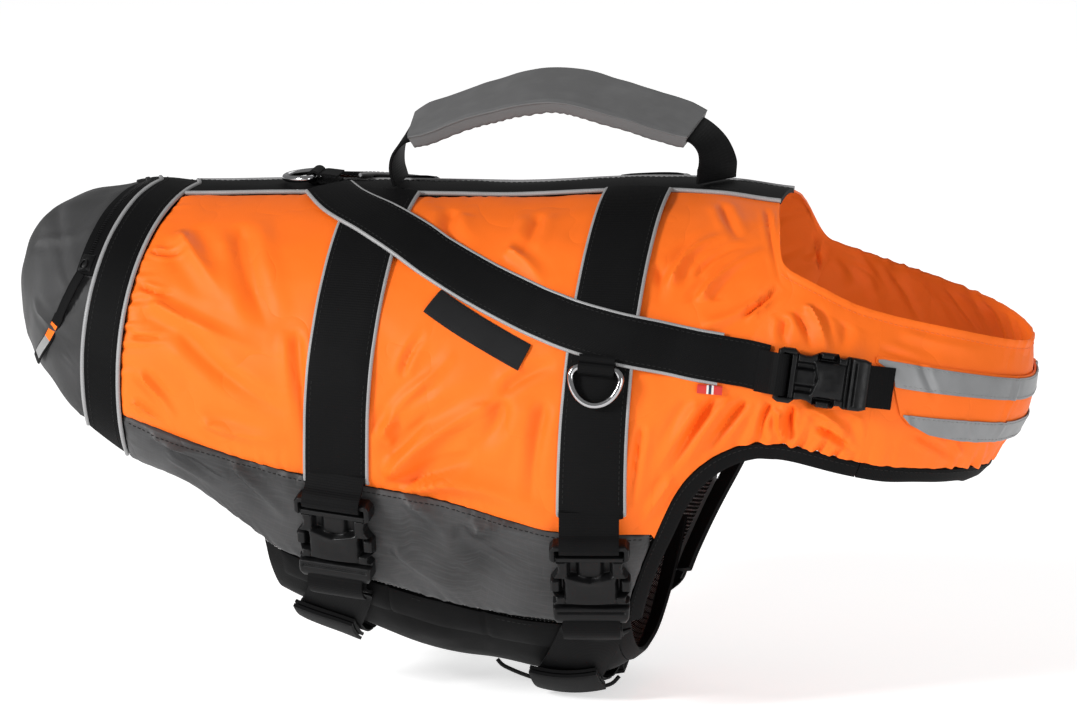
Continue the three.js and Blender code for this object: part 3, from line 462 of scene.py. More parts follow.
def slab(outer, inner):
    """Points, faces and UVs of a closed wall between two grids of the same shape."""
    n, m = outer.shape[:2]
    u, v = lengths(outer)
    points = np.concatenate([outer.reshape(-1, 3), inner.reshape(-1, 3)])
    uv = np.stack([u.ravel(), v.ravel()], axis=-1)
    index = np.arange(n * m).reshape(n, m)
    a, b, c, d = index[:-1, :-1], index[1:, :-1], index[1:, 1:], index[:-1, 1:]
    top = np.stack([a, b, c, d], axis=-1).reshape(-1, 4)
    back = top[:, ::-1] + n * m
    edge = np.concatenate([index[:, 0], index[-1, 1:], index[-2::-1, -1], index[0, -2:0:-1]])
    after = np.roll(edge, -1)
    rim = np.stack([edge, edge + n * m, after + n * m, after], axis=-1)
    faces = np.concatenate([top, back, rim])
    return points, faces.tolist(), np.concatenate([uv, uv]), (len(top), len(back), len(rim))


def relief(points, seed, size, height):
    """Soft unevenness of the given size and height at each point of a grid."""
    flat = points.reshape(-1, 3) / size + seed * 17.3
    values = [noise.noise(Vector(q)) for q in flat]
    return np.array(values).reshape(points.shape[:2]) * height


def folded(p, angle, creases):
    """Heights of the creases: rows of three places (p, angle), half width and height."""
    total = np.zeros(p.shape)
    x, y = p, angle * MM_PER_DEGREE
    for x0, a0, x1, a1, x2, a2, half, high in creases:
        t = np.linspace(0, 1, 14)
        way = np.array([(x0, a0), (2 * x1 - (x0 + x2) / 2, 2 * a1 - (a0 + a2) / 2), (x2, a2)])
        way[:, 1] *= MM_PER_DEGREE
        curve = np.outer((1 - t) ** 2, way[0]) + np.outer(2 * t * (1 - t), way[1]) + np.outer(t * t, way[2])
        near = (
            (x > curve[:, 0].min() - 3 * half) & (x < curve[:, 0].max() + 3 * half)
            & (y > curve[:, 1].min() - 3 * half) & (y < curve[:, 1].max() + 3 * half)
        )
        if not near.any():
            continue
        q = np.stack([x[near], y[near]], axis=-1)
        best = np.full(len(q), 1e9)
        signed = np.zeros(len(q))
        along = np.zeros(len(q))
        for k in range(len(t) - 1):
            start, step = curve[k], curve[k + 1] - curve[k]
            share = np.clip(((q - start) @ step) / (step @ step), 0, 1)
            away = q - start - share[:, None] * step
            gap = np.linalg.norm(away, axis=-1)
            hit = gap < best
            best = np.where(hit, gap, best)
            signed = np.where(hit, np.sign(step[0] * away[:, 1] - step[1] * away[:, 0]) * gap, signed)
            along = np.where(hit, t[k] + share * (t[1] - t[0]), along)
        s = signed / (0.8 * half)
        profile = np.exp(-2.2 * np.abs(s) ** 1.5) - 0.4 * np.exp(-1.8 * (np.abs(s) - 1.4) ** 2)
        taper = np.minimum(along * 7, 1) * np.clip((1 - along) * 1.6, 0, 1) ** 0.8
        total[near] += high * profile * np.maximum(taper, 0)
    return total


MM_PER_DEGREE = 2.0


def gathers(along, away, reach, high, seed, period=9.0):
    """Ripples that a drawn-in seam makes: strongest at the seam, gone at reach from it."""
    bend = np.sin(along / 31 + seed) * 4 + np.sin(along / 13 + 2 * seed) * 1.5
    wave = np.sin((along + bend) * 2 * math.pi / period)
    wave = wave + 0.6 * np.sin((along * 1.7 + 3 * bend) * 2 * math.pi / period + seed)
    uneven = 0.55 + 0.45 * np.sin(along / 19 + 3.1 * seed)
    return high * uneven * wave * np.exp(-((away / reach) ** 1.4))


# ---- Camera ----
def make_camera():
    azimuth, elevation = math.radians(12), math.radians(11)
    across = Vector((math.cos(azimuth), math.sin(azimuth), 0))
    tip = math.sin(elevation)
    rise = Vector((-math.sin(azimuth) * tip, math.cos(azimuth) * tip, math.cos(elevation)))
    back = across.cross(rise)
    lens, sensor, width, near = 900.0, 36.0, 0.6462, 0.02
    data = bpy.data.cameras.new("camera")
    data.lens, data.sensor_width = lens, sensor
    data.clip_start, data.clip_end = 1, 60
    camera = placed("camera", data)
    camera.location = across * 0.0231 + rise * -0.099 + back * (near + width * lens / sensor)
    camera.rotation_mode = "QUATERNION"
    camera.rotation_quaternion = back.to_track_quat("Z", "Y")
    bpy.context.scene.camera = camera


make_camera()


# ---- Free cord: an elastic cord under the belly, held at both ends ----
CORD_RADIUS = 1.25
CORD_ROUTE = np.array([
    (0, -8, -283.4), (3, -8.5, -286.5), (9, -9, -289.2), (17, -10, -291.8), (26, -10.5, -294.2),
    (36, -11, -296.3), (47, -11, -297.5), (57, -10.5, -297), (65, -10, -297), (71, -9, -295), (75, -8, -290.8),
])


def smooth_path(points, step):
    """Points about step apart on a smooth curve through the given ones."""
    points = np.asarray(points, dtype=float)
    gap = np.linalg.norm(np.diff(points, axis=0), axis=-1)
    at = np.concatenate([[0], np.cumsum(gap)])
    table = np.column_stack([at, points])
    s = np.linspace(0, at[-1], max(int(at[-1] / step), 4) + 1)
    return np.stack([column(table, k, s) for k in range(1, points.shape[1] + 1)], axis=-1)


def cross_frames(points):
    """Two unit vectors across a path at each of its points, turning as little as they can."""
    along = unit(np.gradient(points, axis=0))
    first = np.empty_like(points)
    start = np.array((0.0, 0.0, 1.0))
    if abs(along[0] @ start) > 0.9:
        start = np.array((1.0, 0.0, 0.0))
    for k, way in enumerate(along):
        start = start - way * (start @ way)
        start = start / np.linalg.norm(start)
        first[k] = start
    return first, np.cross(along, first)


def loft(rings, closed=False):
    """Faces and UVs of a tube of rings of points, capped unless it is closed on itself."""
    n, m = rings.shape[:2]
    index = np.arange(n * m).reshape(n, m)
    after = np.roll(index, -1, axis=1)
    last = n if closed else n - 1
    corners = (index, after, np.roll(after, -1, axis=0), np.roll(index, -1, axis=0))
    faces = np.stack([corner[:last] for corner in corners], axis=-1).reshape(-1, 4).tolist()
    if not closed:
        faces.append(index[0][::-1].tolist())
        faces.append(index[-1].tolist())
    middle = rings.mean(axis=1)
    u = np.concatenate([[0], np.cumsum(np.linalg.norm(np.diff(middle, axis=0), axis=-1))])
    v = np.linspace(0, np.linalg.norm(np.diff(rings[0], axis=0), axis=-1).sum(), m)
    uv = np.stack(np.meshgrid(u, v, indexing="ij"), axis=-1).reshape(-1, 2)
    return rings.reshape(-1, 3), faces, uv


def round_rings(points, radius, first, second, sides):
    """Rings of points round a path, in the plane of two directions across it."""
    turn = np.linspace(0, 2 * math.pi, sides, endpoint=False)
    ring = np.cos(turn)[None, :, None] * first[:, None] + np.sin(turn)[None, :, None] * second[:, None]
    return points[:, None] + radius * ring


def tube_rings(points, radius, sides=8):
    return round_rings(points, radius, *cross_frames(points), sides)


class Joined:
    """Several closed meshes gathered into one object."""

    def __init__(self):
        self.points, self.faces, self.uvs, self.count = [], [], [], 0

    def add(self, points, faces, uvs, side=1):
        points = np.array(points, dtype=float)
        points[:, 1] *= side
        self.points.append(points)
        self.faces += [[k + self.count for k in face] for face in faces]
        self.uvs.append(np.asarray(uvs))
        self.count += len(points)

    def make(self, name, materials, **options):
        points, uvs = np.concatenate(self.points), np.concatenate(self.uvs)
        return put(name, points, self.faces, materials, uvs, **options)


def pipe(name, paths, side=1, radius=1.35):
    """Lines of piping along paths, as one piece."""
    edge = Joined()
    for path in paths:
        edge.add(*loft(tube_rings(path, radius)), side)
    belongs(edge.make(name, [piping]))


def elastic_cord():
    path = smooth_path(CORD_ROUTE, 2.0)
    data = bpy.data.curves.new("elastic_cord_line", "CURVE")
    data.dimensions = "3D"
    data.bevel_depth = CORD_RADIUS * MM
    data.bevel_resolution = 4
    data.use_fill_caps = True
    line = data.splines.new("POLY")
    line.points.add(len(path) - 1)
    for spot, place in zip(line.points, path * MM):
        spot.co = (*place, 1)
    data.materials.append(thread_black)
    cord = placed("elastic_cord_line", data)
    belongs(cord, ["elastic_cord"])


elastic_cord()


# ---- Cloth walls on the surface ----
REST_GAP = 0.35
# Creases: three places (p, angle), half width and height
REAR_CREASES = [
    (-170, 35, -151, 47, -130, 59, 9, 1.6),
    (-172, 62.5, -148, 67.5, -107, 73.5, 8, 1.5),
    (-173, 87, -162, 92.5, -152, 100, 4, 1.2),
    (-177, 98.5, -167, 101, -158, 103, 3, 0.9),
    (-153, 70.5, -123, 82.5, -89, 89.5, 9, -1.5),
    (-137, 31, -120, 51.5, -105, 66.5, 10, -1.8),
    (-89, 65.5, -84, 80, -79, 94.5, 6, -1.5),
    (-181, 44, -170, 45, -159, 42.5, 3, -1.0),
    (-180, 57.5, -170, 59.5, -159, 59.5, 3, -0.9),
    (-179, 75.5, -169, 75, -158, 73, 3, -0.9),
    (-139, 97, -117, 97.5, -89, 96.5, 6, 1.2),
]
MIDDLE_CREASES = [
    (-34, 103, -6, 98.5, 22, 93, 5, -2.6),
    (-34, 101, -7, 91.5, 33, 79, 8, 2.4),
    (-32, 95.5, -20, 91.5, -8, 85, 4, -1.7),
    (-30, 88, -17, 81, -2, 77, 5, -1.2),
    (-35, 92.5, -25, 84.5, 4, 68, 6, 1.6),
    (35, 79.5, 32, 87, 17, 92.5, 9, -1.8),
    (-23, 102.5, 18, 100.5, 64, 105, 8, 2.2),
    (61, 79, 57, 91.5, 55, 102.5, 7, -1.5),
    (33, 78.5, 50, 72.5, 65, 70.5, 6, -1.1),
    (-27, 76, -22, 68.5, -15, 63.5, 4, -0.9),
    (-16, 21, -15, 30, 1, 37.5, 8, -1.2),
    (22, 37.5, 35, 41, 51, 49, 6, 1.2),
    (36, 22.5, 35, 33, 32, 41, 7, -1.0),
]
SHOULDER_CREASES = [
    (124, 51, 133, 40, 150, 32.5, 6, 2.1),
    (144, 57, 152, 49, 176, 37.5, 6, 2.1),
    (138, 48.5, 148, 41.5, 164, 37, 4, -1.3),
    (167, 64, 179, 58.5, 187, 52.5, 3.5, -1.7),
    (145, 64.5, 164, 62.5, 179, 57.5, 6, 1.1),
    (197, 60.5, 203, 66.5, 206, 72.5, 4, -1.7),
    (202, 57.5, 209, 63, 214, 71.5, 4, 1.9),
    (193, 64, 192, 69, 194, 73.5, 4, -1.3),
    (169, 16, 177, 32, 188, 52, 3, -0.7),
    (142, 16.5, 152, 28, 159, 34.5, 5, -1.2),
    (113, 42.5, 119, 50, 118, 56, 6, -1.0),
    (222, 58, 222, 64, 220, 69.5, 6, -0.9),
    (148, 87, 138, 93.5, 125, 101.5, 6, 1.7),
    (164, 89, 152, 95.5, 139, 104.5, 6, 1.7),
    (173, 91.5, 162, 97.5, 152, 103, 5, -2.2),
    (156, 88, 145, 94.5, 132, 104, 4, -1.4),
    (187, 93.5, 182, 99, 179, 107, 3.5, -2.1),
    (199, 93, 197, 100.5, 196, 108.5, 3.5, -2.1),
    (192, 95, 193, 103, 199, 108.5, 4, 2.1),
    (204, 93.5, 220, 94.5, 241, 105.5, 6, 1.6),
    (211, 99, 226, 102, 239, 106.5, 4, -1.7),
    (234, 89.5, 239, 96.5, 244, 106.5, 5, 2.1),
    (248, 89.5, 245, 97.5, 245, 106, 4, -1.3),
    (261, 89, 253, 95.5, 249, 105, 5, 1.4),
    (117, 88.5, 114, 98, 110, 108, 4, -1.3),
    (134, 105, 125, 109, 117, 113, 5, 1.3),
]
CHEST_CREASES = [
    (230, 64.5, 247, 63, 266, 64.5, 5, -1.3),
    (267, 93, 290, 100, 315, 106, 5, -1.4),
    (251, 53, 268, 55, 302, 55.5, 9, 0.9),
    (288, 91, 300, 98, 313, 104.5, 4, 1.2),
    (315, 86, 330, 95.5, 337, 103.5, 5, -1.2),
]
LOWER_CREASES = [
    (-168, 110, -151, 109, -131, 105.5, 5, 1.5),
    (-159, 112, -140, 112.5, -118, 113, 5, -1.5),
    (-123, 106.5, -107, 111, -90, 118.5, 6, 1.6),
    (-24, 106, -6, 108.5, 9, 115, 7, 1.6),
    (9, 110, 24, 115.5, 55, 117, 8, -2.2),
    (-31, 117.5, -13, 122, 7, 127, 7, 1.4),
    (18, 111.5, 37, 109.5, 55, 110.5, 5, 1.3),
]
RUMP_CREASES = [
    (-275, 45, -238, 42, -218, 28, 9, 1.8),
    (-269, 12, -238, 53.5, -208, 67, 8, -1.6),
    (-209, 61.5, -220, 71, -243, 82, 6, -1.8),
    (-204, 66.5, -209, 74.5, -225, 87.5, 5, 1.8),
    (-263, 81.5, -232, 83.5, -207, 86, 8, 1.5),
    (-227, 90.5, -212, 95, -202, 102, 6, -1.5),
    (-220, 8.5, -220, 29.5, -217, 47.5, 5, -1.2),
]


def far_version(rows, seed):
    """The same kinds of crease in other places and sizes, for the side that doesn't show."""
    random = np.random.RandomState(seed)
    changed = []
    for row in rows:
        shift = random.uniform(-7, 7, 6) * np.array([1, 0.45, 1, 0.45, 1, 0.45])
        x0, a0, x1, a1, x2, a2, half, high = row
        places = np.array([x0, a0, x1, a1, x2, a2]) + shift
        changed.append((*places, half * random.uniform(0.8, 1.3), high * random.uniform(0.6, 1.15)))
    return changed


def spread(start, end, step):
    return np.linspace(start, end, max(int(abs(end - start) / step + 0.5), 1) + 1)


def grid(p, low, high, rows):
    """Sections p against angles from low to high."""
    low, high = np.broadcast_to(low, p.shape), np.broadcast_to(high, p.shape)
    t = np.linspace(0, 1, rows + 1)
    return np.repeat(p[:, None], rows + 1, axis=1), low[:, None] + (high - low)[:, None] * t


def edge_gaps(points):
    """Distances of a grid's points from its first and last sections and its upper and lower edges."""
    u, v = lengths(points)
    return u, u[-1:] - u, v, v[:, -1:] - v


class Ground:
    """The pieces made so far, for laying others on them."""

    def __init__(self):
        self.points, self.faces, self.count, self.tree = [], [], 0, None

    def add(self, points, faces):
        self.points += [tuple(q) for q in points]
        self.faces += [[k + self.count for k in face] for face in faces]
        self.count += len(points)
        self.tree = None

    def height(self, p, angle, side):
        """How high the pieces stand over the base surface; very low where there is none."""
        if self.tree is None:
            self.tree = BVHTree.FromPolygons(self.points, self.faces)
        flip = np.array((1, side, 1))
        start, way = lifted(p, angle, np.full_like(p, 25.0)) * flip, -outward(p, angle) * flip
        high = np.full(p.shape, -99.0)
        for at in np.ndindex(p.shape):
            hit = self.tree.ray_cast(Vector(start[at]), Vector(way[at]), 26.5)
            if hit[0] is not None:
                high[at] = 25.0 - hit[3]
        return high


ground = Ground()


def spread_out(values, reach, axis):
    """The highest value within reach places along an axis, then smoothed."""
    best = values
    for k in range(1, reach + 1):
        for way in (k, -k):
            moved = np.roll(values, way, axis)
            edge = [slice(None)] * values.ndim
            edge[axis] = slice(0, k) if way > 0 else slice(-k, None)
            moved[tuple(edge)] = -99
            best = np.maximum(best, moved)
    for _ in range(2):
        total = np.zeros_like(best)
        for k in range(-reach, reach + 1):
            index = np.clip(np.arange(best.shape[axis]) + k, 0, best.shape[axis] - 1)
            total = total + np.take(best, index, axis)
        best = total / (2 * reach + 1)
    return best


def wall(name, p, angle, outer, inner, looks, side=1, extra=0.0, inside=1.0, rest=None):
    """A closed wall between two lifts; extra is added to the outer face, and inside times it to the inner.

    rest lays it on what is there: "stiff" keeps it level across, "soft" lets it follow.
    """
    base, normal = shell(p, angle), outward(p, angle)
    extra = np.broadcast_to(extra, p.shape)
    if rest:
        need = np.maximum(ground.height(p, angle, side) + REST_GAP - inner - extra, 0)
        if rest == "stiff":
            need = np.repeat(need.max(axis=1, keepdims=True), p.shape[1], axis=1)
        else:
            need = spread_out(need, 2, 1)
        extra = extra + spread_out(need, 3, 0)
    outer, inner = np.broadcast_to(outer, p.shape), np.broadcast_to(inner, p.shape)
    face = base + normal * (outer + extra)[..., None]
    back = base + normal * (inner + inside * extra)[..., None]
    points, faces, uvs, counts = slab(face, back)
    points = points * np.array((1, side, 1))
    ground.add(points, faces)
    slots = None
    if len(looks) > 1:
        slots = np.concatenate([np.zeros(counts[0]), np.ones(counts[1]), np.zeros(counts[2])])
    return put(name, points, faces, looks, uvs, slots)


def pillow(gaps, high, reach):
    """A crown that falls to nothing at every edge."""
    nearest = np.minimum.reduce(gaps)
    return high * (1 - np.exp(-nearest / reach))


def rump():
    p = np.concatenate([[-289.5, -288, -286], spread(-284, HIP_REAR - SEAM, 2.4)])
    p, angle = grid(p, -hem_angle(p), hem_angle(p), 150)
    points = shell(p, angle)
    gaps = edge_gaps(points)
    extra = folded(p, angle, RUMP_CREASES) + folded(p, -angle, far_version(RUMP_CREASES, 5))
    extra = extra + relief(points, 3, 34, 2.6) + relief(points, 4, 15, 0.7)
    extra = extra * np.clip(gaps[1] / 14, 0, 1) * np.clip(gaps[0] / 10, 0.2, 1)
    extra = extra + gathers(gaps[2], gaps[1], 9, 0.5, 2.0, 10) - 1.2 * np.exp(-gaps[1] / 5)
    thing = wall("rump_cloth", p, angle, CLOTH, 1.0, [rump_cloth], extra=extra)
    belongs(thing, ["rump_cover"])


def hip():
    p = spread(HIP_REAR, HIP_FRONT, 2.0)
    p, angle = grid(p, -hem_angle(p), hem_angle(p), 190)
    points = shell(p, angle)
    extra = relief(points, 8, 22, 0.5)
    edge_gap = np.minimum(p - HIP_REAR, HIP_FRONT - p)
    top = STRAP_LIFT - 0.2 - 1.2 * np.exp(-edge_gap / 0.6)
    thing = wall("hip_webbing", p, angle, top, -2.6, [webbing_across], extra=extra, inside=0)
    belongs(thing, ["hip_band"])
    paths = []
    for x in (HIP_REAR + 0.9, HIP_FRONT - 0.9):
        turn = hem_angle(np.array([x]))[0]
        angles = np.linspace(-turn, turn, 190)
        paths.append(lifted(np.full_like(angles, x), angles, np.full_like(angles, STRAP_LIFT - 0.3)))
    pipe("hip_piping", paths)


PANEL_CREASES = 2.7
# Below DEEPEST a crease flattens out, over DEEP_EASE more, so that it stays above the lining
DEEPEST, DEEP_EASE = 2.0, 1.2


def body_panel(name, node, p, low, high, rows, look, creases, seed, side, pucker=(0, 0, 0, 0)):
    """A foam-backed panel: cloth outside, mesh lining inside. pucker is the gather at each of its edges."""
    p, angle = grid(p, low, high, rows)
    points = shell(p, angle)
    gaps = edge_gaps(points)
    folds = folded(p, angle, creases) * PANEL_CREASES
    folds = np.where(folds < -DEEPEST, -DEEPEST - DEEP_EASE * np.tanh((-DEEPEST - folds) / DEEP_EASE), folds)
    calm = np.clip(np.minimum.reduce(gaps) / 5, 0.25, 1)
    extra = pillow(gaps, 1.3, 7) + folds * calm
    extra = extra + relief(points, seed, 40, 1.4) + relief(points, seed + 1, 16, 0.5)
    for k, size in enumerate(pucker):
        if size:
            extra = extra + gathers(gaps[(k + 2) % 4 if k < 2 else k - 2], gaps[k], 8, size, seed + k, 9.5)
    extra = extra - 1.5 * np.exp(-np.minimum.reduce(gaps) / 1.6)
    thing = wall(name, p, angle, BODY_WALL, BODY_LINING, [look, lining], side, extra, 0.0)
    belongs(thing, [node])


def side_panels(side, tag):
    rows = {"near": (REAR_CREASES, MIDDLE_CREASES, LOWER_CREASES)}
    rows["far"] = tuple(far_version(r, 20 + k) for k, r in enumerate(rows["near"]))
    rear, middle, lower = rows[tag]
    seed, step, dense = (11, 1.3, 1.45) if tag == "near" else (47, 2.0, 1.0)
    for place, start, end, count, creases, more, pucker in (
        ("rear", HIP_FRONT, REAR_STRAP_X, 84, rear, 0, (0.8, 0.5, 0.3, 0.4)),
        ("middle", REAR_STRAP_X, FRONT_STRAP_X, 92, middle, 3, (0.5, 0.5, 0.3, 0.4)),
    ):
        p = spread(start + SEAM, end - SEAM, step)
        low, high = spine_angle(p) + turn_for(p, SEAM), colour_angle(p) - turn_for(p, SEAM)
        body_panel(f"{place}_cloth_{tag}", f"orange_{place}_{tag}", p, low, high, int(count * dense), orange,
                   creases, seed + more, side, pucker)
    p = spread(HIP_FRONT + SEAM, 121, step + 0.2)
    low = colour_angle(p) + turn_for(p, SEAM)
    high = np.where(p < 105, hem_angle(p), leg_angle(p) - turn_for(p, SEAM))
    body_panel(f"lower_cloth_{tag}", f"grey_lower_{tag}", p, low, high, 34, ripstop, lower,
               seed + 6, side, (0.4, 0.3, 0.3, 0.5))


def shoulder_panel(side, tag):
    near = tag == "near"
    creases = SHOULDER_CREASES if near else far_version(SHOULDER_CREASES, 31) + NECK_FOLDS
    last, fine = SHOULDER_SEAM - 0.02, 1.3 if near else 1.8
    p = np.concatenate([
        spread(FRONT_STRAP_X + SEAM, 174, fine), spread(175, 188, 0.8)[1:], spread(189.5, last, fine),
    ])
    low = rim_angle(p, side)
    high = np.where(p < 122, colour_angle(p), leg_angle(p)) - turn_for(p, SEAM)
    p, angle = grid(p, low, high, 130 if near else 92)
    points = shell(p, angle)
    gaps = edge_gaps(points)
    calm = np.clip(gaps[0] / 5, 0.25, 1) * np.clip(gaps[3] / 3, 0.5, 1)
    extra = folded(p, angle, creases) * (2.0 if near else 1.1) * calm
    extra = extra + relief(points, 61 + side, 36, 1.6) + relief(points, 63 + side, 14, 0.5)
    extra = extra * np.clip((SHOULDER_SEAM - p) / 14, 0, 1) * np.clip(gaps[2] / 12, 0.15 if near else 0.05, 1)
    drawn = np.clip((p - 128) / 40, 0, 1)
    joint = np.clip((SHOULDER_SEAM - p) / 8, 0, 1)
    extra = extra + gathers(gaps[0], gaps[3], 13, 1.5, 5.0 + side, 12) * drawn * joint
    rim = np.clip((p - 180) / 20, 0, 1)
    reach, high = (7, 0.2) if near else (9, 0.55)
    extra = extra + gathers(gaps[0], gaps[2], reach, high, 2.0 + side, 11) * rim * joint
    extra = extra + gathers(gaps[2], gaps[0], 7, 0.5, 8.0 + side, 10) - 1.0 * np.exp(-gaps[0] / 1.5)
    extra = extra + 0.9 * np.exp(-((gaps[2] / 3.5) ** 4)) * rim
    thing = wall(f"shoulder_cloth_{tag}", p, angle, CLOTH, 1.1, [orange], side, extra)
    belongs(thing, [f"orange_shoulder_{tag}"])


def chest_front():
    p = spread(SHOULDER_SEAM + 0.02, 2 * FRONT_X - SHOULDER_SEAM - 0.02, 1.8)
    low = np.where(p < FRONT_X, rim_angle(p, 1), rim_angle(p, -1))
    p, angle = grid(p, low, HEM_ANGLE - turn_for(NECK_X, SEAM), 64)
    points = shell(p, angle)
    gaps = edge_gaps(points)
    extra = folded(p, angle, CHEST_CREASES) * 1.5
    extra = extra + folded(2 * FRONT_X - p, angle, far_version(CHEST_CREASES, 9) + NECK_FOLDS)
    extra = extra + relief(points, 71, 34, 1.3) + relief(points, 73, 13, 0.5)
    joint = np.clip(np.minimum(gaps[0], gaps[1]) / 12, 0, 1)
    extra = extra * joint * np.clip(gaps[2] / 12, 0.1, 1)
    far = np.clip((p - FRONT_X + 35) / 50, 0, 1)
    extra = extra + gathers(gaps[0], gaps[3], 12, 1.4, 7.0, 12) * joint
    extra = extra + gathers(gaps[0], gaps[2], 9, 0.25 + 0.4 * far, 3.0, 11) * joint
    extra = extra + 0.9 * np.exp(-((gaps[2] / 3.5) ** 4))
    thing = wall("chest_cloth", p, angle, CLOTH, 1.1, [orange], extra=extra)
    belongs(thing, ["chest_panel"])


# Folds of the chest and shoulder on the far side, which show through the neck
NECK_FOLDS = [
    (214, 52, 226, 66, 240, 84, 6, -2.6),
    (226, 50, 240, 62, 256, 76, 7, 2.2),
    (246, 50, 262, 60, 276, 70, 6, -2.2),
    (276, 50, 290, 62, 300, 72, 8, 2.0),
    (300, 50, 312, 60, 322, 74, 6, -1.8),
    (196, 52, 204, 66, 210, 82, 6, 2.0),
]


# ---- Strips laid along a path ----
def across_path(p, angle, half, across, offset=0.0):
    """A grid of places (p, angle) across a path on the surface."""
    along = unit(np.gradient(shell(p, angle), axis=0))
    wide = unit(np.cross(along, outward(p, angle)))
    step_p = shell(p + 0.5, angle) - shell(p - 0.5, angle)
    step_a = shell(p, angle + 0.5) - shell(p, angle - 0.5)
    pp, aa, pa = (step_p**2).sum(-1), (step_a**2).sum(-1), (step_p * step_a).sum(-1)
    wp, wa = (wide * step_p).sum(-1), (wide * step_a).sum(-1)
    det = pp * aa - pa * pa
    alpha, beta = (wp * aa - wa * pa) / det, (wa * pp - wp * pa) / det
    w = offset + np.outer(np.broadcast_to(half, p.shape), np.linspace(-1, 1, across + 1))
    return p[:, None] + alpha[:, None] * w, angle[:, None] + beta[:, None] * w


STRIP_COLUMNS = 8


def strip(name, p, angle, lift, half, thick, looks, side=1, offset=0.0, seed=1.0, ripple=0.25, rest=None):
    """Webbing along a path, with soft edges and slight unevenness."""
    pp, aa = across_path(p, angle, half, STRIP_COLUMNS, offset)
    w = np.linspace(-1, 1, STRIP_COLUMNS + 1)
    top = np.broadcast_to(lift, p.shape)[:, None] + thick - 0.5 * np.abs(w)[None, :] ** 8
    bottom = np.broadcast_to(lift, p.shape)[:, None] + 0.4 * np.abs(w)[None, :] ** 8
    uneven = relief(shell(pp, aa), seed, 26, ripple)
    return wall(name, pp, aa, top, bottom, looks, side, uneven, rest=rest)


def edge_tubes(p, angle, half, side, drop=1.3):
    """Two lines of piping, one along each edge of a strip that is already there."""
    pp, aa = across_path(p, angle, half - 1.6, 2)
    high = ground.height(pp, aa, side) - drop
    out = across_path(p, angle, half, 2)
    for k in (0, 2):
        yield lifted(out[0][:, k], out[1][:, k], high[:, k])


def girth_strap(side, tag, place, x, end):
    angle = np.linspace(spine_angle(np.array([x]))[0] + 0.3, end, 120)
    p = np.full_like(angle, x)
    thing = strip(f"{place}_webbing_{tag}", p, angle, STRAP_LIFT, STRAP_HALF - 1.9, WEBBING, [webbing], side,
                  seed=x + side, ripple=0.5, rest="stiff")
    belongs(thing, [f"{place}_strap_{tag}"])
    pipe(f"{place}_piping_{tag}", edge_tubes(p, angle, STRAP_HALF - 1.3, side), side)


def shoulder_lift(p):
    over = STRAP_LIFT + WEBBING + LAY

    def clear(x):
        return np.clip((np.abs(p - x) - STRAP_HALF - 8) / 16, 0, 1)

    t = np.minimum(clear(REAR_STRAP_X), clear(FRONT_STRAP_X))
    rest = np.where(p < FRONT_STRAP_X, BODY_WALL + 2 * LAY, CLOTH + 2 * LAY)
    return np.where(p < REAR_STRAP_X, over, over + (rest - over) * ease(t))


PIPING_LAST = -14  # the piping ends this many steps before the strap does


def shoulder_strap(side, tag):
    p = np.linspace(-98, 184, 150)
    angle = column(SHOULDER_PATH, 1, p)
    lift = shoulder_lift(p)
    thing = strip(f"shoulder_webbing_{tag}", p, angle, lift, SHOULDER_HALF - 1.9, WEBBING, [webbing], side,
                  seed=30 + side, ripple=0.5, rest="stiff")
    belongs(thing, [f"shoulder_strap_{tag}"])
    paths = edge_tubes(p[:PIPING_LAST], angle[:PIPING_LAST], SHOULDER_HALF - 1.3, side)
    pipe(f"shoulder_piping_{tag}", paths, side, 1.3)


def spine():
    p = spread(HIP_FRONT + SEAM, SPINE_END, 2.2)
    edge_turn = spine_angle(p) * 0.93
    p2, angle = grid(p, -edge_turn, edge_turn, 26)
    thing = wall("spine_webbing", p2, angle, SPINE_TOP - 0.2, 0.6, [webbing],
                 extra=relief(shell(p2, angle), 91, 24, 0.7))
    belongs(thing, ["spine_strip"])
    level = np.full_like(p, SPINE_TOP - 0.2)
    pipe("spine_piping", [lifted(p, sign * spine_angle(p) * 0.965, level) for sign in (1, -1)])


# ---- Chest pieces ----
# Distance along the chest, and the patch's upper and lower edge there, from its pointed end to the middle
PATCH_EDGES = np.array([
    (239, 66.8, 68.8), (243, 66, 70), (248.5, 65.8, 70.6), (250, 65.7, 76), (252.6, 65.6, 81),
    (256, 65.5, 86.5), (262, 65.5, 90), (275, 65.5, 93.5), (300, 65.5, 95.5), (FRONT_X, 65.5, 95.8),
])
BANDS = {"upper": (240, 66.5, 76.2), "lower": (257.5, 86, 94.8)}
BAND_INSET = 1.0


def patch_grid(edge, top, low, inset, rows):
    """A grid across the chest between top and low, kept inset degrees inside the patch's own edges."""
    half = np.concatenate([spread(edge, 270, 0.8), spread(271, FRONT_X, 1.8)])
    p = np.concatenate([half, 2 * FRONT_X - half[-2::-1]])
    from_end = np.minimum(p, 2 * FRONT_X - p)
    upper = np.interp(from_end, PATCH_EDGES[:, 0], PATCH_EDGES[:, 1])
    lower = np.interp(from_end, PATCH_EDGES[:, 0], PATCH_EDGES[:, 2])
    return grid(p, np.maximum(top, upper + inset), np.minimum(low, lower - 0.6 * inset), rows)


def patch_form(p, angle):
    """Points of the patch, and the soft bends that it and its bands share."""
    points = shell(p, angle)
    bend = folded(p, angle, BAND_FOLDS) + folded(2 * FRONT_X - p, angle, BAND_FOLDS)
    return points, bend + relief(points, 81, 30, 0.9)


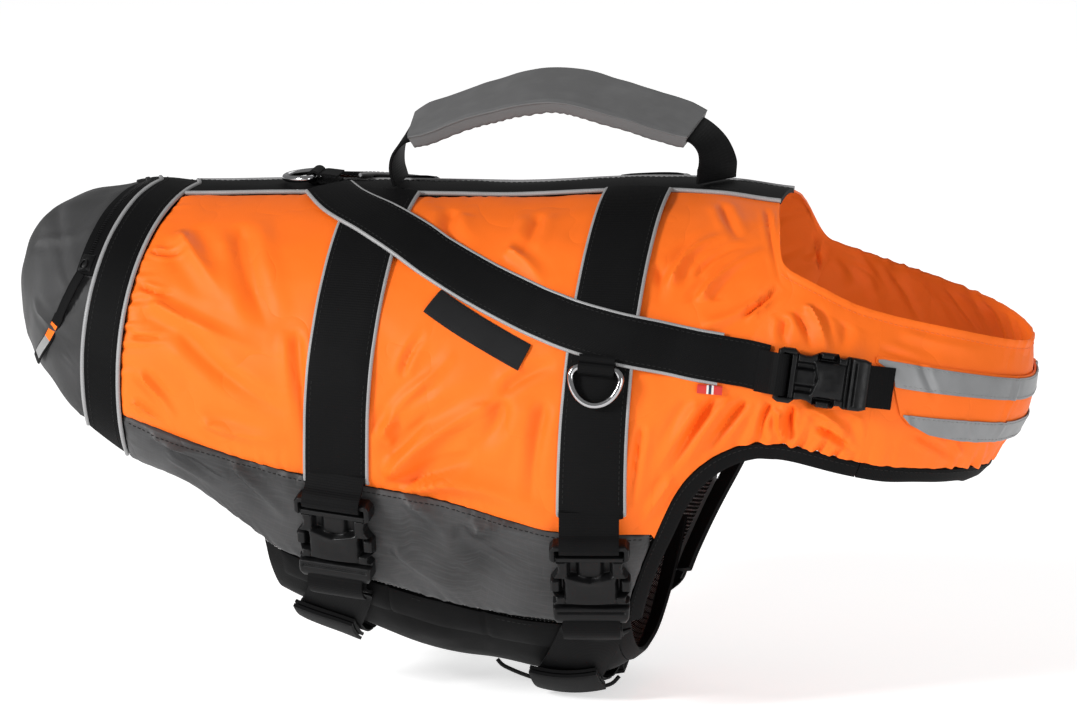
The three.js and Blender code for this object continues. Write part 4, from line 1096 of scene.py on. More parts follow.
def throat():
    p, angle = patch_grid(239, 0, 180, 0, 30)
    base = CLOTH + LAY
    extra = patch_form(p, angle)[1]
    thing = wall("throat_cloth", p, angle, base + 1.2, base, [orange], extra=extra, rest="soft")
    belongs(thing, ["throat_patch"])
    for name, (edge, top, low) in BANDS.items():
        p, angle = patch_grid(edge, top, low, BAND_INSET, 10)
        points, extra = patch_form(p, angle)
        extra = extra + relief(points, 83, 9, 0.25)
        thing = wall(f"reflective_tape_{name}", p, angle, base + 2.1, base + 1.4, [band_cloth], extra=extra,
                     rest="soft")
        belongs(thing, [f"reflective_band_{name}"])


BAND_FOLDS = [
    (335, 62, 332, 80, 326, 100, 4, 1.6),
    (262, 64, 268, 72, 276, 80, 4, -0.9),
    (300, 84, 306, 92, 318, 99, 4, 0.9),
    (258, 84, 264, 92, 272, 99, 3, 0.9),
]


# ---- Bindings ----
def bindings():
    for side, tag in SIDES:
        p = np.concatenate([spread(105.5, 150, 1.0), spread(151.5, SHOULDER_SEAM, 1.6)])
        angle = leg_angle(p)
        thing = strip(f"leg_tape_{tag}", p, angle, -0.6, BINDING / 2, 4.0, [binding], side,
                      offset=BINDING / 2 + SEAM, seed=5 + side, ripple=0.6)
        belongs(thing, [f"leg_binding_{tag}"])
    p = spread(SHOULDER_SEAM + 2 * SEAM, 2 * FRONT_X - SHOULDER_SEAM - 2 * SEAM, 1.8)
    angle = np.full_like(p, HEM_ANGLE)
    dip = 3.0 * bell(p, 336, 7) + 1.6 * bell(p, 262, 16)
    thing = strip("chest_tape", p, angle, -0.6, BINDING / 2 + dip / 2, 4.0, [binding],
                  offset=BINDING / 2 + SEAM, seed=9, ripple=0.8)
    belongs(thing, ["chest_binding"])
    angle = np.linspace(125, 235, 110)
    p = np.full_like(angle, BELLY_FRONT)
    thing = strip("belly_tape", p, angle, BELLY_LIFT - BELLY_WALL, BINDING / 2, BELLY_WALL, [binding],
                  offset=-BINDING / 2 - SEAM, seed=13, ripple=0.5)
    belongs(thing, ["belly_binding"])


# ---- Belly ----
BELLY_LIFT = BODY_LINING - 1.3
BELLY_WALL = 3.0
BELLY_TUCK = 9.0
BELLY_REAR, BELLY_FRONT = -110.0, 101.0
BELLY_STRAP_LIFT = BELLY_LIFT + 3.65
BAND_SEAMS = (-38.0, 22.0)


def belly():
    p = spread(BELLY_REAR, BELLY_FRONT, 2.4)
    hem = hem_angle(p)
    p2, angle = grid(p, hem - BELLY_TUCK, 360 - hem + BELLY_TUCK, 130)
    base, normal = shell(p2, angle), outward(p2, angle)
    away = np.minimum(angle - hem[:, None], 360 - angle - hem[:, None])
    extra = relief(base, 101, 32, 1.3) * np.clip(away / 8, 0, 1)
    points, faces, uvs, counts = slab(
        base + normal * (BELLY_LIFT + extra)[..., None],
        base + normal * (BELLY_LIFT - BELLY_WALL + extra)[..., None],
    )
    hem_mesh = (away < 5.5) & (p2 < BELLY_FRONT)
    middle = hem_mesh[:-1, :-1] & hem_mesh[1:, 1:]
    slots = np.concatenate([middle.reshape(-1).astype(int), np.ones(counts[1]), np.zeros(counts[2])])
    thing = put("belly_cloth", points, faces, [black_cloth, lining], uvs, slots)
    belongs(thing, ["belly_panel"])
    for side, tag in SIDES:
        p = spread(-100, 90, 1.6)
        p2, angle = grid(p, hem_angle(p) + 3, hem_angle(p) + 13, 14)
        points = shell(p2, angle)
        gaps = edge_gaps(points)
        seams = sum(-1.1 * bell(p2, x, 1.1) for x in BAND_SEAMS)
        extra = pillow(gaps, 1.2, 5) + seams + relief(points, 105 + side, 24, 0.8)
        thing = wall(f"belly_webbing_{tag}", p2, angle, BELLY_LIFT + 2.2, BELLY_LIFT + 0.9, [black_cloth],
                     side, extra, 0.3)
        belongs(thing, [f"belly_band_{tag}"])


BUCKLE_ANGLE = {"rear": 118.0, "front": 120.5}
BELLY_DRIFT = {"rear": 16.0, "front": 23.0}
# A strap's tail is folded double: how much narrower each layer is, and its height over the first
TAIL_LAYERS = ((0.0, 0.0), (0.2, 2.8))
TAIL_THICK = 2.7


def belly_strap(side, tag, place, x):
    start = BUCKLE_ANGLE[place] + 16
    angle = np.linspace(start, 179, 90)
    p = x - BELLY_DRIFT[place] * np.clip((angle - start) / 25, 0, 1)
    step = np.clip((angle - hem_angle(p) - 2) / 5, 0, 1)
    lift = STRAP_LIFT + (BELLY_STRAP_LIFT - STRAP_LIFT) * ease(step)
    thing = strip(f"{place}_belly_webbing_{tag}", p, angle, lift, STRAP_HALF - 1, WEBBING, [webbing], side,
                  seed=x + 3 * side, ripple=0.9)
    belongs(thing, [f"{place}_belly_strap_{tag}"])
    angle = np.linspace(153, 168, 22)
    p = np.full_like(angle, x - BELLY_DRIFT[place])
    joined = Joined()
    for inset, top in TAIL_LAYERS:
        pp, aa = across_path(p, angle, STRAP_HALF - 1 - inset, 16)
        lift = BELLY_STRAP_LIFT + WEBBING + 1 + top
        wave = relief(shell(pp, aa), 7 + side, 40, 1.0)
        w = np.abs(np.linspace(-1, 1, 17))[None, :] ** 8
        e = np.abs(np.linspace(-1, 1, len(p)))[:, None] ** 14
        round_off = 0.35 * np.maximum(w, e)
        points, faces, uvs, _ = slab(
            lifted(pp, aa, lift + TAIL_THICK - round_off + wave), lifted(pp, aa, lift + round_off + wave),
        )
        joined.add(points, faces, uvs, side)
    thing = joined.make(f"{place}_tail_webbing_{tag}", [webbing])
    belongs(thing, [f"{place}_strap_tail_{tag}"])


# ---- Side-release buckles, each in its own frame: x along the strap, y across it, z out of the panel ----
class Buckle:
    def __init__(self, wide, long, high, slot, strap):
        self.wide, self.long, self.high, self.slot, self.strap = wide, long, high, slot, strap


WIDE = Buckle(48.0, 56.0, 11.0, 41.0, 18.0)
SMALL = Buckle(33.0, 56.0, 9.0, 26.0, 12.6)


def box(x, low, high, soft):
    """1 between low and high, 0 outside, with soft ends."""
    a = np.clip((x - low) / soft + 0.5, 0, 1)
    b = np.clip((high - x) / soft + 0.5, 0, 1)
    return ease(a) * ease(b)


def buckle_seat(p, angle, reach_p, reach_angle, base, along):
    """Where a buckle's frame lies: its origin, and its axes as rows."""
    p, angle = np.array(float(p)), np.array(float(angle))
    normal = outward(p, angle)
    origin = shell(p, angle)
    dp, da = np.meshgrid(np.linspace(-reach_p, reach_p, 9), np.linspace(-reach_angle, reach_angle, 9))
    highest = max(((lifted(p + dp, angle + da, base + 0 * dp) - origin) @ normal).max(), 0) + LAY
    length = unit(along - normal * (along @ normal))
    return origin + normal * highest, np.stack([length, np.cross(normal, length), normal])


def buckle_outline(size, x):
    w, l = size.wide / 2, size.long / 2
    knots = np.array([
        (-l, 0.9), (-l + 3, 1), (-l + 10, 1), (-l + 13, 0.84), (-l + 17, 0.8), (-l + 20, 0.82), (-2, 1),
        (8, 1), (9, 0.88), (12, 0.86), (14, 0.96), (l - 4, 0.94), (l, 0.86),
    ])
    return w * np.interp(x, knots[:, 0], knots[:, 1])


def buckle_height(size, x, y):
    w, l, high = size.wide / 2, size.long / 2, size.high
    across = np.abs(y) / w
    inside = box(np.abs(y), -1, size.slot / 2, 1.2)
    h = np.full(x.shape, 0.5 * high)
    bar = box(x, -l, -l + 3.7, 1.6)
    h = h + (0.86 * high - h) * bar
    h = h + (0.22 * high - h) * box(x, -l + 3.9, -l + 8.1, 0.9) * inside
    h = h + (0.9 * high - h) * box(x, -l + 3, -l + 12, 2.2) * (1 - inside)
    h = h + (0.8 * high - h) * box(x, -l + 8.4, -l + 12, 1.4) * inside
    tongue = box(across, -1, 0.3, 0.12) * box(x, -l + 12, -4, 1.5)
    arms = box(across, 0.54, 1.2, 0.1) * box(x, -l + 12, -2, 1.5)
    h = h + (0.3 * high - h) * box(x, -l + 12.2, -5, 1.2)
    h = h + (0.62 * high - h) * tongue
    h = h + (0.78 * high - h) * arms
    crown = high * (1 - 0.14 * (across / 0.62) ** 2)
    mouth = -6 + 3.2 * np.clip(1 - across / 0.6, 0, 1)
    body = box(x, mouth, 13.5, 1.8) * box(across, -1, 0.64, 0.07)
    h = h + (crown - h) * body
    window = box(x, -4, 8.4, 1.2) * box(across, 0.66, 2, 0.05)
    h = h + (0.26 * high - h) * window
    prong = box(x, -2.6, 6.2, 2.6) * box(across, 0.76, 2, 0.08)
    h = h + (0.74 * high - h) * prong
    h = h + (0.84 * high - h) * box(x, 8.6, 14, 1.6) * box(across, 0.64, 2, 0.06)
    h = h + (0.5 * high - h) * box(x, 14.2, 16, 1.0)
    end = high * (0.96 - 0.2 * ((x - 22) / 6) ** 2)
    h = h + (end - h) * box(x, 16.4, l + 2, 1.4)
    h = h - 0.12 * high * box(x, 19, 20, 0.8) * inside
    recess = np.exp(-(((x - 3.5) / 5.5) ** 4) - ((across / 0.34) ** 4))
    return h - 0.07 * high * recess


def buckle_mesh(name, size, seat, side, node):
    origin, axes = seat
    l = size.long / 2
    x = np.linspace(-l, l, 150)
    t = np.sin(np.linspace(-1, 1, 71) * math.pi / 2)
    half = buckle_outline(size, x)
    xx = np.repeat(x[:, None], len(t), axis=1)
    yy = half[:, None] * t
    h = buckle_height(size, xx, yy)
    edge = np.minimum((1 - np.abs(t))[None, :] * half[:, None], (l - np.abs(xx)))
    h = h - 1.8 * (1 - np.sqrt(np.clip(1 - (1 - np.clip(edge / 1.8, 0, 1)) ** 2, 0, 1)))
    top = np.stack([xx, yy, np.maximum(h, 0.8)], axis=-1)
    low = np.stack([xx, yy, np.full_like(xx, 0.2)], axis=-1)
    points, faces, uvs, _ = slab(top, low)
    points = (origin + points @ axes) * np.array((1, side, 1))
    thing = put(name, points, faces, [buckle_plastic], uvs, sharp=60)
    belongs(thing, [node])


def local_band(seat, path, half, thick):
    """Webbing in a buckle's frame: path is (x, z) of its underside."""
    origin, axes = seat
    line = smooth_path(path, 1.0)
    along = unit(np.gradient(line, axis=0))
    up = np.stack([-along[:, 1], along[:, 0]], axis=-1)
    w = np.linspace(-1, 1, 11)

    def face(rise, sag):
        spot = line + up * rise
        out = np.zeros((len(line), len(w), 3))
        out[..., 0] = spot[:, :1]
        out[..., 1] = half * w[None, :]
        out[..., 2] = spot[:, 1:] - sag * np.abs(w)[None, :] ** 6
        return origin + out @ axes

    return slab(face(thick, 0.4), face(0.0, -0.2))


def buckle_webbing(name, seat, side, bands, nodes=()):
    """The webbing through a buckle: each band is its path and half width."""
    joined = Joined()
    for path, half in bands:
        joined.add(*local_band(seat, path, half, WEBBING)[:3], side)
    belongs(joined.make(name, [webbing]), nodes)


def seen_from(seat, p, angle, lift):
    """A place on the surface, in a buckle's frame."""
    return (lifted(np.array(p), np.array(angle), lift) - seat[0]) @ seat[1].T


def side_buckle(side, tag, place, x, strap_end):
    angle = BUCKLE_ANGLE[place]
    down = shell(x, angle + 1.0) - shell(x, angle - 1.0)
    seat = buckle_seat(x, angle, WIDE.wide / 2, 14, BODY_WALL, down)
    buckle_mesh(f"{place}_release_buckle_{tag}", WIDE, seat, side, f"{place}_buckle_{tag}")
    first = seen_from(seat, x, strap_end - 2.0, STRAP_LIFT)
    last = seen_from(seat, x, angle + 17.0, STRAP_LIFT)
    upper = [
        (first[0], first[2] + 0.3), (-32.5, 3.4), (-29.5, 8.2), (-26.6, 10.0), (-24.2, 9.4), (-22.9, 6.4),
        (-22.6, 3.0),
    ]
    lower = [(18.5, 1.5), (24, 2.0), (30.5, 4.6), (34.0, 4.2), (last[0], last[2] + 0.2)]
    back = [(24.5, 6.0), (27.6, 9.4), (32.0, 9.6), (36.8, 7.4), (40.5, 3.6)]
    bands = ((upper, WIDE.strap), (lower, WIDE.strap), (back, WIDE.strap - 0.8))
    buckle_webbing(f"{place}_buckle_webbing_{tag}", seat, side, bands)


def shoulder_buckle(side, tag):
    p, angle = 213.0, 81.3
    along = shell(p + 6, angle - 0.85) - shell(p - 6, angle + 0.85)
    seat = buckle_seat(p, angle, SMALL.long / 2, 10, CLOTH + 1.2, along)
    buckle_mesh(f"shoulder_release_buckle_{tag}", SMALL, seat, side, f"shoulder_buckle_{tag}")
    first = seen_from(seat, 183.0, 81.0, CLOTH + 2 * LAY)
    last = seen_from(seat, 247.0, 77.6, CLOTH + LAY)
    upper = [
        (first[0] - 3, first[2]), (-31.5, 3.2), (-29, 6.4), (-26.5, 8.0), (-24.2, 7.6), (-22.9, 5.0),
        (-22.6, 2.4),
    ]
    lower = [(20.0, 1.4), (27, 2.6), (last[0], last[2] + 0.3), (last[0] + 3, last[2] - 0.3)]
    bands = ((upper, SMALL.strap), (lower, SMALL.strap))
    buckle_webbing(f"shoulder_buckle_webbing_{tag}", seat, side, bands, [f"chest_webbing_{tag}"])


# ---- Handle ----
HANDLE = np.array([
    (-61, 5.6), (-63.5, 16), (-61.5, 27), (-54, 36.5), (-33, 45.3), (-10, 54.5), (18, 62.5), (44, 64),
    (68, 58.5), (92, 52.5), (113, 46.5), (123, 42.5), (130, 35), (133, 25), (132.5, 13.6),
], dtype=float)
HANDLE_HALF, PAD_HALF, PAD_HIGH, PAD_TILT, LEG_YAW = 19.0, 22.5, 10.0, 17.0, 26.0
# The solid handle is made in this many steps, and its pad runs from the first of these to the second
HANDLE_STEPS, PAD_START, PAD_END = 28, 4, 24
PAD_LENGTH = 190.0


def rounded_box(half_wide, half_high, radius, count=7):
    """Corners of a rounded rectangle, going round it."""
    points = []
    for cx, cy, start in ((1, 1, 0), (-1, 1, 90), (-1, -1, 180), (1, -1, 270)):
        for turn in np.radians(np.linspace(start, start + 90, count)):
            points.append((
                cx * (half_wide - radius) + radius * math.cos(turn),
                cy * (half_high - radius) + radius * math.sin(turn),
            ))
    return np.array(points)


def handle():
    flat = smooth_path(HANDLE, 1.5)
    line = np.column_stack([flat[:, 0], np.zeros(len(flat)), flat[:, 1]])
    s = np.linspace(0, 1, len(line))
    blend = np.clip(np.minimum(s, 1 - s) * HANDLE_STEPS - 1, 0, 4) / 4
    yaw = np.radians(LEG_YAW) * np.clip((s * HANDLE_STEPS - PAD_END) / 3, 0, 1)
    lean = np.radians(PAD_TILT) * blend
    along = unit(np.gradient(line, axis=0))
    sideways = np.stack([-np.sin(yaw) * np.cos(lean), -np.cos(yaw) * np.cos(lean), -np.sin(lean)], axis=-1)
    sideways = unit(sideways - along * (sideways * along).sum(-1, keepdims=True))
    up = np.cross(sideways, along)

    def rings(section, keep):
        a, b = section[:, 0][None, :, None], section[:, 1][None, :, None]
        return line[keep][:, None] + a * sideways[keep][:, None] + b * up[keep][:, None]

    every = np.ones(len(s), dtype=bool)
    band = rings(rounded_box(HANDLE_HALF, WEBBING / 2, 0.8, 3), every)
    points, faces, uvs = loft(band)
    belongs(put("handle_band", points, faces, [webbing], uvs), ["handle_webbing"])
    keep = (s > PAD_START / HANDLE_STEPS) & (s < PAD_END / HANDLE_STEPS)
    section = rounded_box(PAD_HALF - 0.4, PAD_HIGH / 2 - 0.3, 2.4, 7)
    ring = rings(section, keep)
    run = np.linspace(0, 1, keep.sum())
    at = run * PAD_LENGTH
    low = section[:, 1] < -1.5
    pucker = 0.45 * np.sin(at * 2 * math.pi / 6.5 + np.sin(at / 9) * 2) * (0.4 + 0.6 * bell(run, 0.42, 0.25))
    ring = ring + (pucker[:, None] * low[None, :] * 0.9)[..., None] * up[keep][:, None]
    centre = section[:, 0] / (PAD_HALF - 0.4)
    crown = 1.6 * (1 - centre**2)[None, :] * np.where(section[:, 1] > 0, 1, -0.4)[None, :]
    wave = relief(ring, 121, 30, 1.2) + relief(ring, 122, 12, 0.4)
    fullness = np.sin(np.clip(run, 0.02, 0.98) * math.pi)[:, None] ** 0.3
    ring = ring + ((crown + wave) * fullness)[..., None] * up[keep][:, None]
    points, faces, uvs = loft(ring)
    thing = put("handle_cushion", points, faces, [grip_cloth], uvs, sharp=70)
    belongs(thing, ["handle_pad"])
    seam = Joined()
    for corner in (1, -1):
        away = np.abs(section[:, 0] - corner * (PAD_HALF - 0.8)) + np.abs(section[:, 1] - PAD_HIGH / 2 + 1.2)
        seam.add(*loft(tube_rings(ring[:, np.argmin(away)], 0.85)))
    belongs(seam.make("handle_seam", [grip_cloth]))


# ---- Rings and their loops ----
WIRE = 2.0


def d_ring(name, node, centre, bar_axis, drop_axis, bar, drop, body):
    half = bar / 2
    points = [(t * half, 0.0) for t in np.linspace(-0.8, 0.8, 12)]
    for turn in np.radians(np.linspace(0, 180, 44)):
        points.append((half * math.cos(turn), drop * (0.16 + 0.84 * math.sin(turn))))
    flat = np.array(points)
    route = centre + flat[:, :1] * bar_axis + flat[:, 1:] * drop_axis
    gap = np.linalg.norm(np.roll(route, -1, axis=0) - route, axis=-1)
    at = np.concatenate([[0], np.cumsum(gap)])
    closed = np.concatenate([route, route[:1]])
    s = np.linspace(0, at[-1], 110, endpoint=False)
    route = np.stack([np.interp(s, at, closed[:, k]) for k in range(3)], axis=-1)
    for _ in range(6):
        route = (np.roll(route, 1, axis=0) + 2 * route + np.roll(route, -1, axis=0)) / 4
    along = unit(np.roll(route, -1, axis=0) - np.roll(route, 1, axis=0))
    normal = np.cross(bar_axis, drop_axis)
    out = np.cross(along, normal)
    rings = round_rings(route, WIRE, out, np.broadcast_to(normal, out.shape), 18)
    points, faces, uvs = loft(rings, closed=True)
    thing = put(name, points, faces, [chrome], uvs)
    belongs(thing, [node], body)


def ring_loop(name, node, centre, bar_axis, down, out, wide, tail):
    """A loop of webbing round a ring's bar, with its doubled end sewn down above the bar."""
    turn = np.radians(np.linspace(-150, 150, 40))
    loop = np.stack([np.cos(turn) * 3.5, np.sin(turn) * 3.5], axis=-1)
    lead = np.array([(-tail, 1.6), (-7.5, 1.9), (-5, 2.4)])
    lower = np.array([(-5, -2.4), (-7.5, -2.6), (-tail, -2.9)])
    route = np.concatenate([lead, loop[::-1], lower])
    line = smooth_path(route, 0.7)
    along = unit(np.gradient(line, axis=0))
    away = np.stack([-along[:, 1], along[:, 0]], axis=-1)
    w = np.linspace(-1, 1, 9) * wide / 2

    def face(rise):
        flat = line + away * rise
        spot = centre + flat[:, :1] * down + flat[:, 1:] * out
        return spot[:, None] + w[None, :, None] * bar_axis

    points, faces, uvs, _ = slab(face(0.7), face(-0.7))
    thing = put(name, points, faces, [webbing], uvs)
    belongs(thing, [node])


RING_FALL = 0.1  # radians that the back ring slopes down by
SIDE_RING_ANGLE = 71.8


def rings():
    centre = np.array((-113.0, 0.0, 7.6))
    slope = np.array((-math.cos(RING_FALL), 0.0, -math.sin(RING_FALL)))
    bar = np.array((0.0, 1.0, 0.0))
    d_ring("lead_ring", "back_ring", centre, bar, slope, 27.0, 19.0, "back_ring")
    flat = np.array((-1.0, 0.0, 0.12))
    out = unit(np.cross(bar, -flat))
    ring_loop("lead_ring_loop", "back_ring_loop", centre, bar, unit(flat), out, 19.0, 15.0)
    turn = SIDE_RING_ANGLE
    centre = lifted(np.array(FRONT_STRAP_X), np.array(turn), STRAP_LIFT + WEBBING + 4.8)
    down = unit(shell(FRONT_STRAP_X, turn + 9) - shell(FRONT_STRAP_X, turn - 1))
    bar = np.array((1.0, 0.0, 0.0))
    bar = unit(bar - down * (bar @ down))
    d_ring("clip_ring", "side_ring", centre, bar, down, 31.0, 22.0, "side_ring")
    out = outward(np.array(FRONT_STRAP_X), np.array(turn))
    ring_loop("clip_ring_loop", "side_ring_loop", centre, bar, down, out, 22.0, 7.5)


# ---- Patch and flag ----
LABEL_TURN, FLAG_TURN = 12.9, 9.6  # degrees below the shoulder strap's middle


def stripes(thing, count, limits, looks, faces, across=1):
    """Gives a strip's faces looks by their share of its length; across is 0 where a column has the first."""
    share = (np.arange(count) + 0.5) / count
    part = np.repeat(np.select([share < limit for limit in limits], looks, 0), STRIP_COLUMNS) * across
    slots = np.zeros(len(thing.data.polygons), dtype=np.int32)
    for k in range(faces):
        slots[k * len(part):(k + 1) * len(part)] = part
    thing.data.polygons.foreach_set("material_index", slots)


def patches():
    p = np.linspace(-14, 46, 50)
    angle = column(SHOULDER_PATH, 1, p) + LABEL_TURN
    thing = strip("bare_label", p, angle, BODY_WALL + LAY, 8.5, 1.0, [label_cloth], seed=3, ripple=0.4,
                  rest="soft")
    belongs(thing, ["side_patch"])
    p = np.linspace(146, 159, 36)
    angle = column(SHOULDER_PATH, 1, p) + FLAG_TURN
    thing = strip("flag_ribbon_tab", p, angle, CLOTH + LAY, 2.6, 1.6, flag_cloths, seed=4, ripple=0.1,
                  rest="stiff")
    stripes(thing, len(p) - 1, (0.36, 0.45, 0.56, 0.65), [0, 1, 2, 1], 2)
    belongs(thing, ["flag_tag"])


# ---- Zip across the rump ----
ZIP_ANGLE = 58.0
ZIP_LINE = 6.5  # how far behind the hip band its teeth run
SLIDER_X = -216.3
PULL_PATH = np.array([
    (-217, 58.5, 4.6), (-222, 67, 3.4), (-228, 76, 3.2), (-236, 87, 3.2), (-244, 98, 3.4), (-251, 108, 3.8),
])


def small_blocks(points, along, normal, long, wide, high):
    """Little rounded blocks at points, as one list of points and faces."""
    side = np.cross(along, normal)
    corners = []
    for a, b, c in (
        (-0.5, -0.5, 0), (0.5, -0.5, 0), (0.5, 0.5, 0), (-0.5, 0.5, 0),
        (-0.36, -0.3, 1), (0.36, -0.3, 1), (0.36, 0.3, 1), (-0.36, 0.3, 1),
    ):
        corners.append(points + along * a * long + side * b * wide + normal * c * high)
    spots = np.stack(corners, axis=1).reshape(-1, 3)
    faces = []
    for k in range(len(points)):
        b = 8 * k
        for f in ((0, 3, 2, 1), (4, 5, 6, 7), (0, 1, 5, 4), (1, 2, 6, 5), (2, 3, 7, 6), (3, 0, 4, 7)):
            faces.append([b + q for q in f])
    return spots, faces, np.zeros((len(spots), 2))


def resample(p, angle, lift, step):
    """Places every step along a path on the surface, with its direction and normal."""
    spots = lifted(p, angle, np.broadcast_to(lift, p.shape))
    at = np.concatenate([[0], np.cumsum(np.linalg.norm(np.diff(spots, axis=0), axis=-1))])
    s = np.arange(step / 2, at[-1], step)
    pp, aa = np.interp(s, at, p), np.interp(s, at, angle)
    points = lifted(pp, aa, np.interp(s, at, np.broadcast_to(lift, p.shape)))
    return points, unit(np.gradient(points, axis=0)), outward(pp, aa), pp, aa


def zip_parts():
    lift = CLOTH + LAY
    p = spread(HIP_REAR - 13, HIP_REAR - SEAM, 1.6)
    p2, angle = grid(p, -ZIP_ANGLE, ZIP_ANGLE, 90)
    points = shell(p2, angle)
    groove = -0.5 * bell(p2, HIP_REAR - ZIP_LINE, 1.6)
    extra = groove + relief(points, 17, 20, 0.5)
    thing = wall("zip_cloth", p2, angle, lift + 1.0, lift - 1.2, [binding], extra=extra)
    belongs(thing, ["zip_tape"])
    teeth = Joined()
    turn = np.linspace(-ZIP_ANGLE + 1, ZIP_ANGLE - 1, 120)
    spots, along, normal, _, _ = resample(np.full_like(turn, HIP_REAR - ZIP_LINE), turn, lift + 0.7, 1.7)
    teeth.add(*small_blocks(spots, along, normal, 1.0, 3.4, 0.9))
    belongs(teeth.make("zip_teeth", [buckle_plastic], smooth=False))
    slider = Joined()
    p = np.linspace(-216, -216.5, 12)
    angle = np.linspace(ZIP_ANGLE - 8, ZIP_ANGLE - 1, 12)
    pp, aa = across_path(p, angle, 4.0, 10)
    w = np.linspace(-1, 1, 11)[None, :]
    s = np.linspace(-1, 1, 12)[:, None]
    body = lift + 1.6 + 2.0 * np.clip(1 - np.abs(w) ** 4, 0, 1) * np.clip(1 - np.abs(s) ** 6, 0, 1)
    points, faces, uvs, _ = slab(lifted(pp, aa, body), lifted(pp, aa, np.full_like(pp, lift + 1.5)))
    slider.add(points, faces, uvs)
    seat = np.array(SLIDER_X), np.array(ZIP_ANGLE - 3.0)
    place, normal = lifted(*seat, lift + 4.2), outward(*seat)
    way = unit(shell(-220.0, ZIP_ANGLE + 6.0) - shell(-216.0, ZIP_ANGLE - 4.0))
    turn = np.linspace(0, 2 * math.pi, 24, endpoint=False)
    eye = place + 3.0 * np.cos(turn)[:, None] * way + 2.0 * np.sin(turn)[:, None] * np.cross(way, normal)
    eye_rings = round_rings(eye, 0.6, np.broadcast_to(normal, eye.shape), unit(eye - place), 8)
    slider.add(*loft(eye_rings, closed=True))
    belongs(slider.make("zip_runner", [buckle_plastic]), ["zip_slider"])
    at = np.linspace(0, 1, len(PULL_PATH))
    s = np.linspace(0, 1, 70)
    p, angle, rise = (np.interp(s, at, PULL_PATH[:, k]) for k in range(3))
    half = np.where(s < 0.42, 3.0, 3.7)
    looks = [binding, orange, thread_grey]
    thing = strip("zip_pull", p, angle, rise + 0.4 + 0.8 * np.sin(s * 9), half, 1.6, looks, seed=6, ripple=0.3)
    middle = np.tile(np.array([0, 1, 1, 1, 1, 1, 1, 0]), len(p) - 1)
    stripes(thing, len(p) - 1, (0.5, 0.64, 0.9), [0, 1, 2], 1, middle)
    belongs(thing, ["zip_pull_tab"])


# ---- Stitching ----
STITCH, STITCH_GAP = 2.2, 3.3
STITCH_REACH = 2.2  # how far the cloth may stand from the plain surface where a stitch is still in sight


def stitching():
    black, bright, grey = Joined(), Joined(), Joined()

    def run(group, p, angle, lift, side=1, lines=(0.0,), step=STITCH_GAP):
        for offset in lines:
            pp, aa = across_path(p, angle, 0.5, 2, offset)
            spots, along, normal, p_at, a_at = resample(pp[:, 1], aa[:, 1], lift, step)
            lift_at = np.interp(p_at, p, lift) if np.ndim(lift) else lift
            rise = ground.height(p_at, a_at, side) - lift_at
            keep = np.abs(rise) < STITCH_REACH
            spots = spots + normal * (rise - 0.12)[:, None]
            if keep.sum() > 1:
                group.add(*small_blocks(spots[keep], along[keep], normal[keep], STITCH, 0.6, 0.4), side)

    for side in (1, -1):
        for x, end in ((REAR_STRAP_X, 103.0), (FRONT_STRAP_X, 104.0)):
            angle = np.linspace(16, end, 90)
            run(black, np.full_like(angle, x), angle, STRAP_LIFT + WEBBING - 0.1, side, (-16.2, 16.2))
        p = np.linspace(-94, 184, 160)
        run(black, p, column(SHOULDER_PATH, 1, p), shoulder_lift(p) + WEBBING - 0.1, side, (-11.6, 11.6))
        p = spread(HIP_FRONT + 4, SPINE_END - 3, 4)
        run(black, p, side * spine_angle(p) * 0.82, SPINE_TOP - 0.1)
        p = np.concatenate([spread(NECK_X + 3, SHOULDER_SEAM - 1, 3), spread(SHOULDER_SEAM + 1, FRONT_X, 4)])
        run(bright, p, rim_angle(p, side), CLOTH + 0.5, side, (5.0,))
        for x in (HIP_REAR + 5, HIP_FRONT - 5):
            angle = np.linspace(0, hem_angle(np.array([x]))[0] - 1, 90)
            run(black, np.full_like(angle, x), angle, STRAP_LIFT - 0.1, side)
        p = spread(HIP_FRONT + 4, 118, 4)
        run(black, p, colour_angle(p), BODY_WALL + 0.3, side, (3.0,))
        p = np.concatenate([spread(106, 150, 2), spread(152, SHOULDER_SEAM - 2, 3)])
        run(black, p, leg_angle(p), 3.6, side, (2.2,))
        p = spread(-96, 86, 4)
        run(black, p, hem_angle(p) + 4.0, BELLY_LIFT + 3.0, side)
    p = spread(SHOULDER_SEAM + 3, 2 * FRONT_X - SHOULDER_SEAM - 3, 3)
    run(black, p, np.full_like(p, HEM_ANGLE), 3.6, 1, (2.2,))
    top = CLOTH + LAY + 1.2
    for turn in (67.4, 75.2, 87.0, 93.8):
        edge = 254 if turn < 80 else 262 if turn < 90 else 290
        p = spread(edge, 2 * FRONT_X - edge, 3)
        run(grey, p, np.full_like(p, turn), top + 1.0)
    p = np.linspace(-12.5, 44.5, 40)
    for offset in (-7.0, 7.0):
        run(black, p, column(SHOULDER_PATH, 1, p) + LABEL_TURN, BODY_WALL + LAY + 1.6, 1, (offset,), 2.6)
    for x in (-61.0, 140.0):
        for y in (-13.0, 13.0):
            p = np.linspace(x - 9, x + 9, 12)
            run(black, p, np.full_like(p, math.degrees(math.asin(y / 112))), SPINE_TOP)
    belongs(black.make("stitching_black", [thread_black], smooth=False))
    belongs(bright.make("stitching_orange", [thread_orange], smooth=False))
    belongs(grey.make("stitching_grey", [thread_grey], smooth=False))


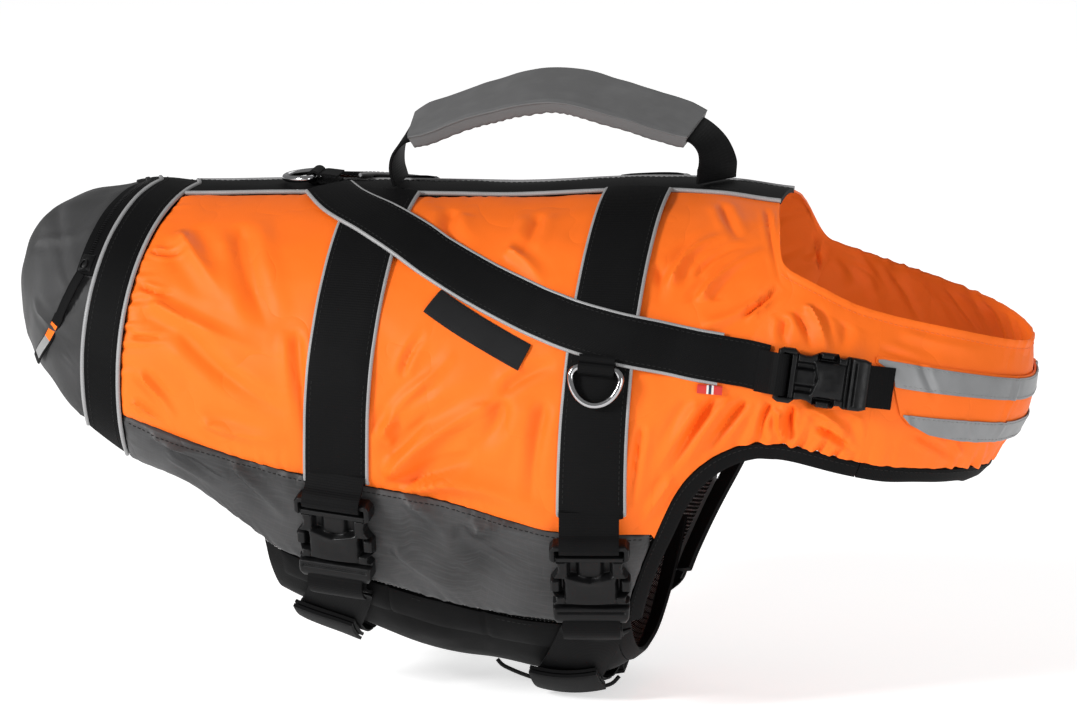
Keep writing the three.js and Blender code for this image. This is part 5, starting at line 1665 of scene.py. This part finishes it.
# ---- More looks ----
webbing_across = ribbed("black_webbing_across", BLACK, 0.62, 0.0016, 0.00012, across="v", **DULL)
flag_cloths = [
    ribbed("flag_red", (0.5, 0.02, 0.015), 0.6, 0.0006, 0.00003),
    ribbed("flag_white", (0.65, 0.64, 0.62), 0.6, 0.0006, 0.00003),
    ribbed("flag_dark", (0.012, 0.016, 0.045), 0.6, 0.0006, 0.00003),
]


def chrome_look():
    look = Look("chromed_steel", (0.42, 0.42, 0.43), 0.16, Metallic=1.0)
    look.rough(look.span(look.noise(0.003, 3), 0.3, 0.7, 0.08, 0.2))
    look.bump(look.noise(0.006, 2), 0.00003, 0.4)
    return look.material


chrome = chrome_look()


# ---- Everything, in order ----
# Each girth strap's place, and the angle where its upper part ends
GIRTHS = (("rear", REAR_STRAP_X, 104.5), ("front", FRONT_STRAP_X, 107.0))

rump()
hip()
zip_parts()
spine()
for side, tag in SIDES:
    side_panels(side, tag)
    shoulder_panel(side, tag)
chest_front()
for side, tag in SIDES:
    for place, x, end in GIRTHS:
        girth_strap(side, tag, place, x, end)
    shoulder_strap(side, tag)
    for place, x, end in GIRTHS:
        side_buckle(side, tag, place, x, end)
    for place, x, end in GIRTHS:
        belly_strap(side, tag, place, x)
    shoulder_buckle(side, tag)
throat()
bindings()
belly()
handle()
rings()
patches()
stitching()


# ---- Floor and light ----
def studio():
    mesh = bpy.data.meshes.new("floor")
    size, height = 8.0, -0.2995
    corners = [(x * size, y * size, height) for x, y in ((-1, -1), (1, -1), (1, 1), (-1, 1))]
    mesh.from_pydata(corners, [], [(0, 1, 2, 3)])
    floor = placed("floor", mesh)
    look = Look("floor_paper", (0.9, 0.9, 0.9), 0.9, Emission_Color=(1, 1, 1, 1), Emission_Strength=0.6)
    mesh.materials.append(look.material)
    world = bpy.data.worlds.new("studio")
    world.use_nodes = True
    world.node_tree.nodes["Background"].inputs[0].default_value = (1, 1, 1, 1)
    world.node_tree.nodes["Background"].inputs[1].default_value = 0.3
    bpy.context.scene.world = world
    for name, place, power, size in (
        ("key", (-1.7, -1.7, 0.95), 56, 0.6),
        ("side", (1.6, -1.5, 0.1), 11, 0.8),
        ("back", (0.4, 1.6, 1.5), 7, 1.2),
    ):
        data = bpy.data.lights.new(name, "AREA")
        data.energy, data.size = power, size
        light = placed(name, data)
        light.location = place
        aim = Vector((0, 0, -0.1)) - Vector(place)
        light.rotation_mode = "QUATERNION"
        light.rotation_quaternion = aim.to_track_quat("-Z", "Y")
    bpy.context.scene.view_settings.view_transform = "Standard"


studio()
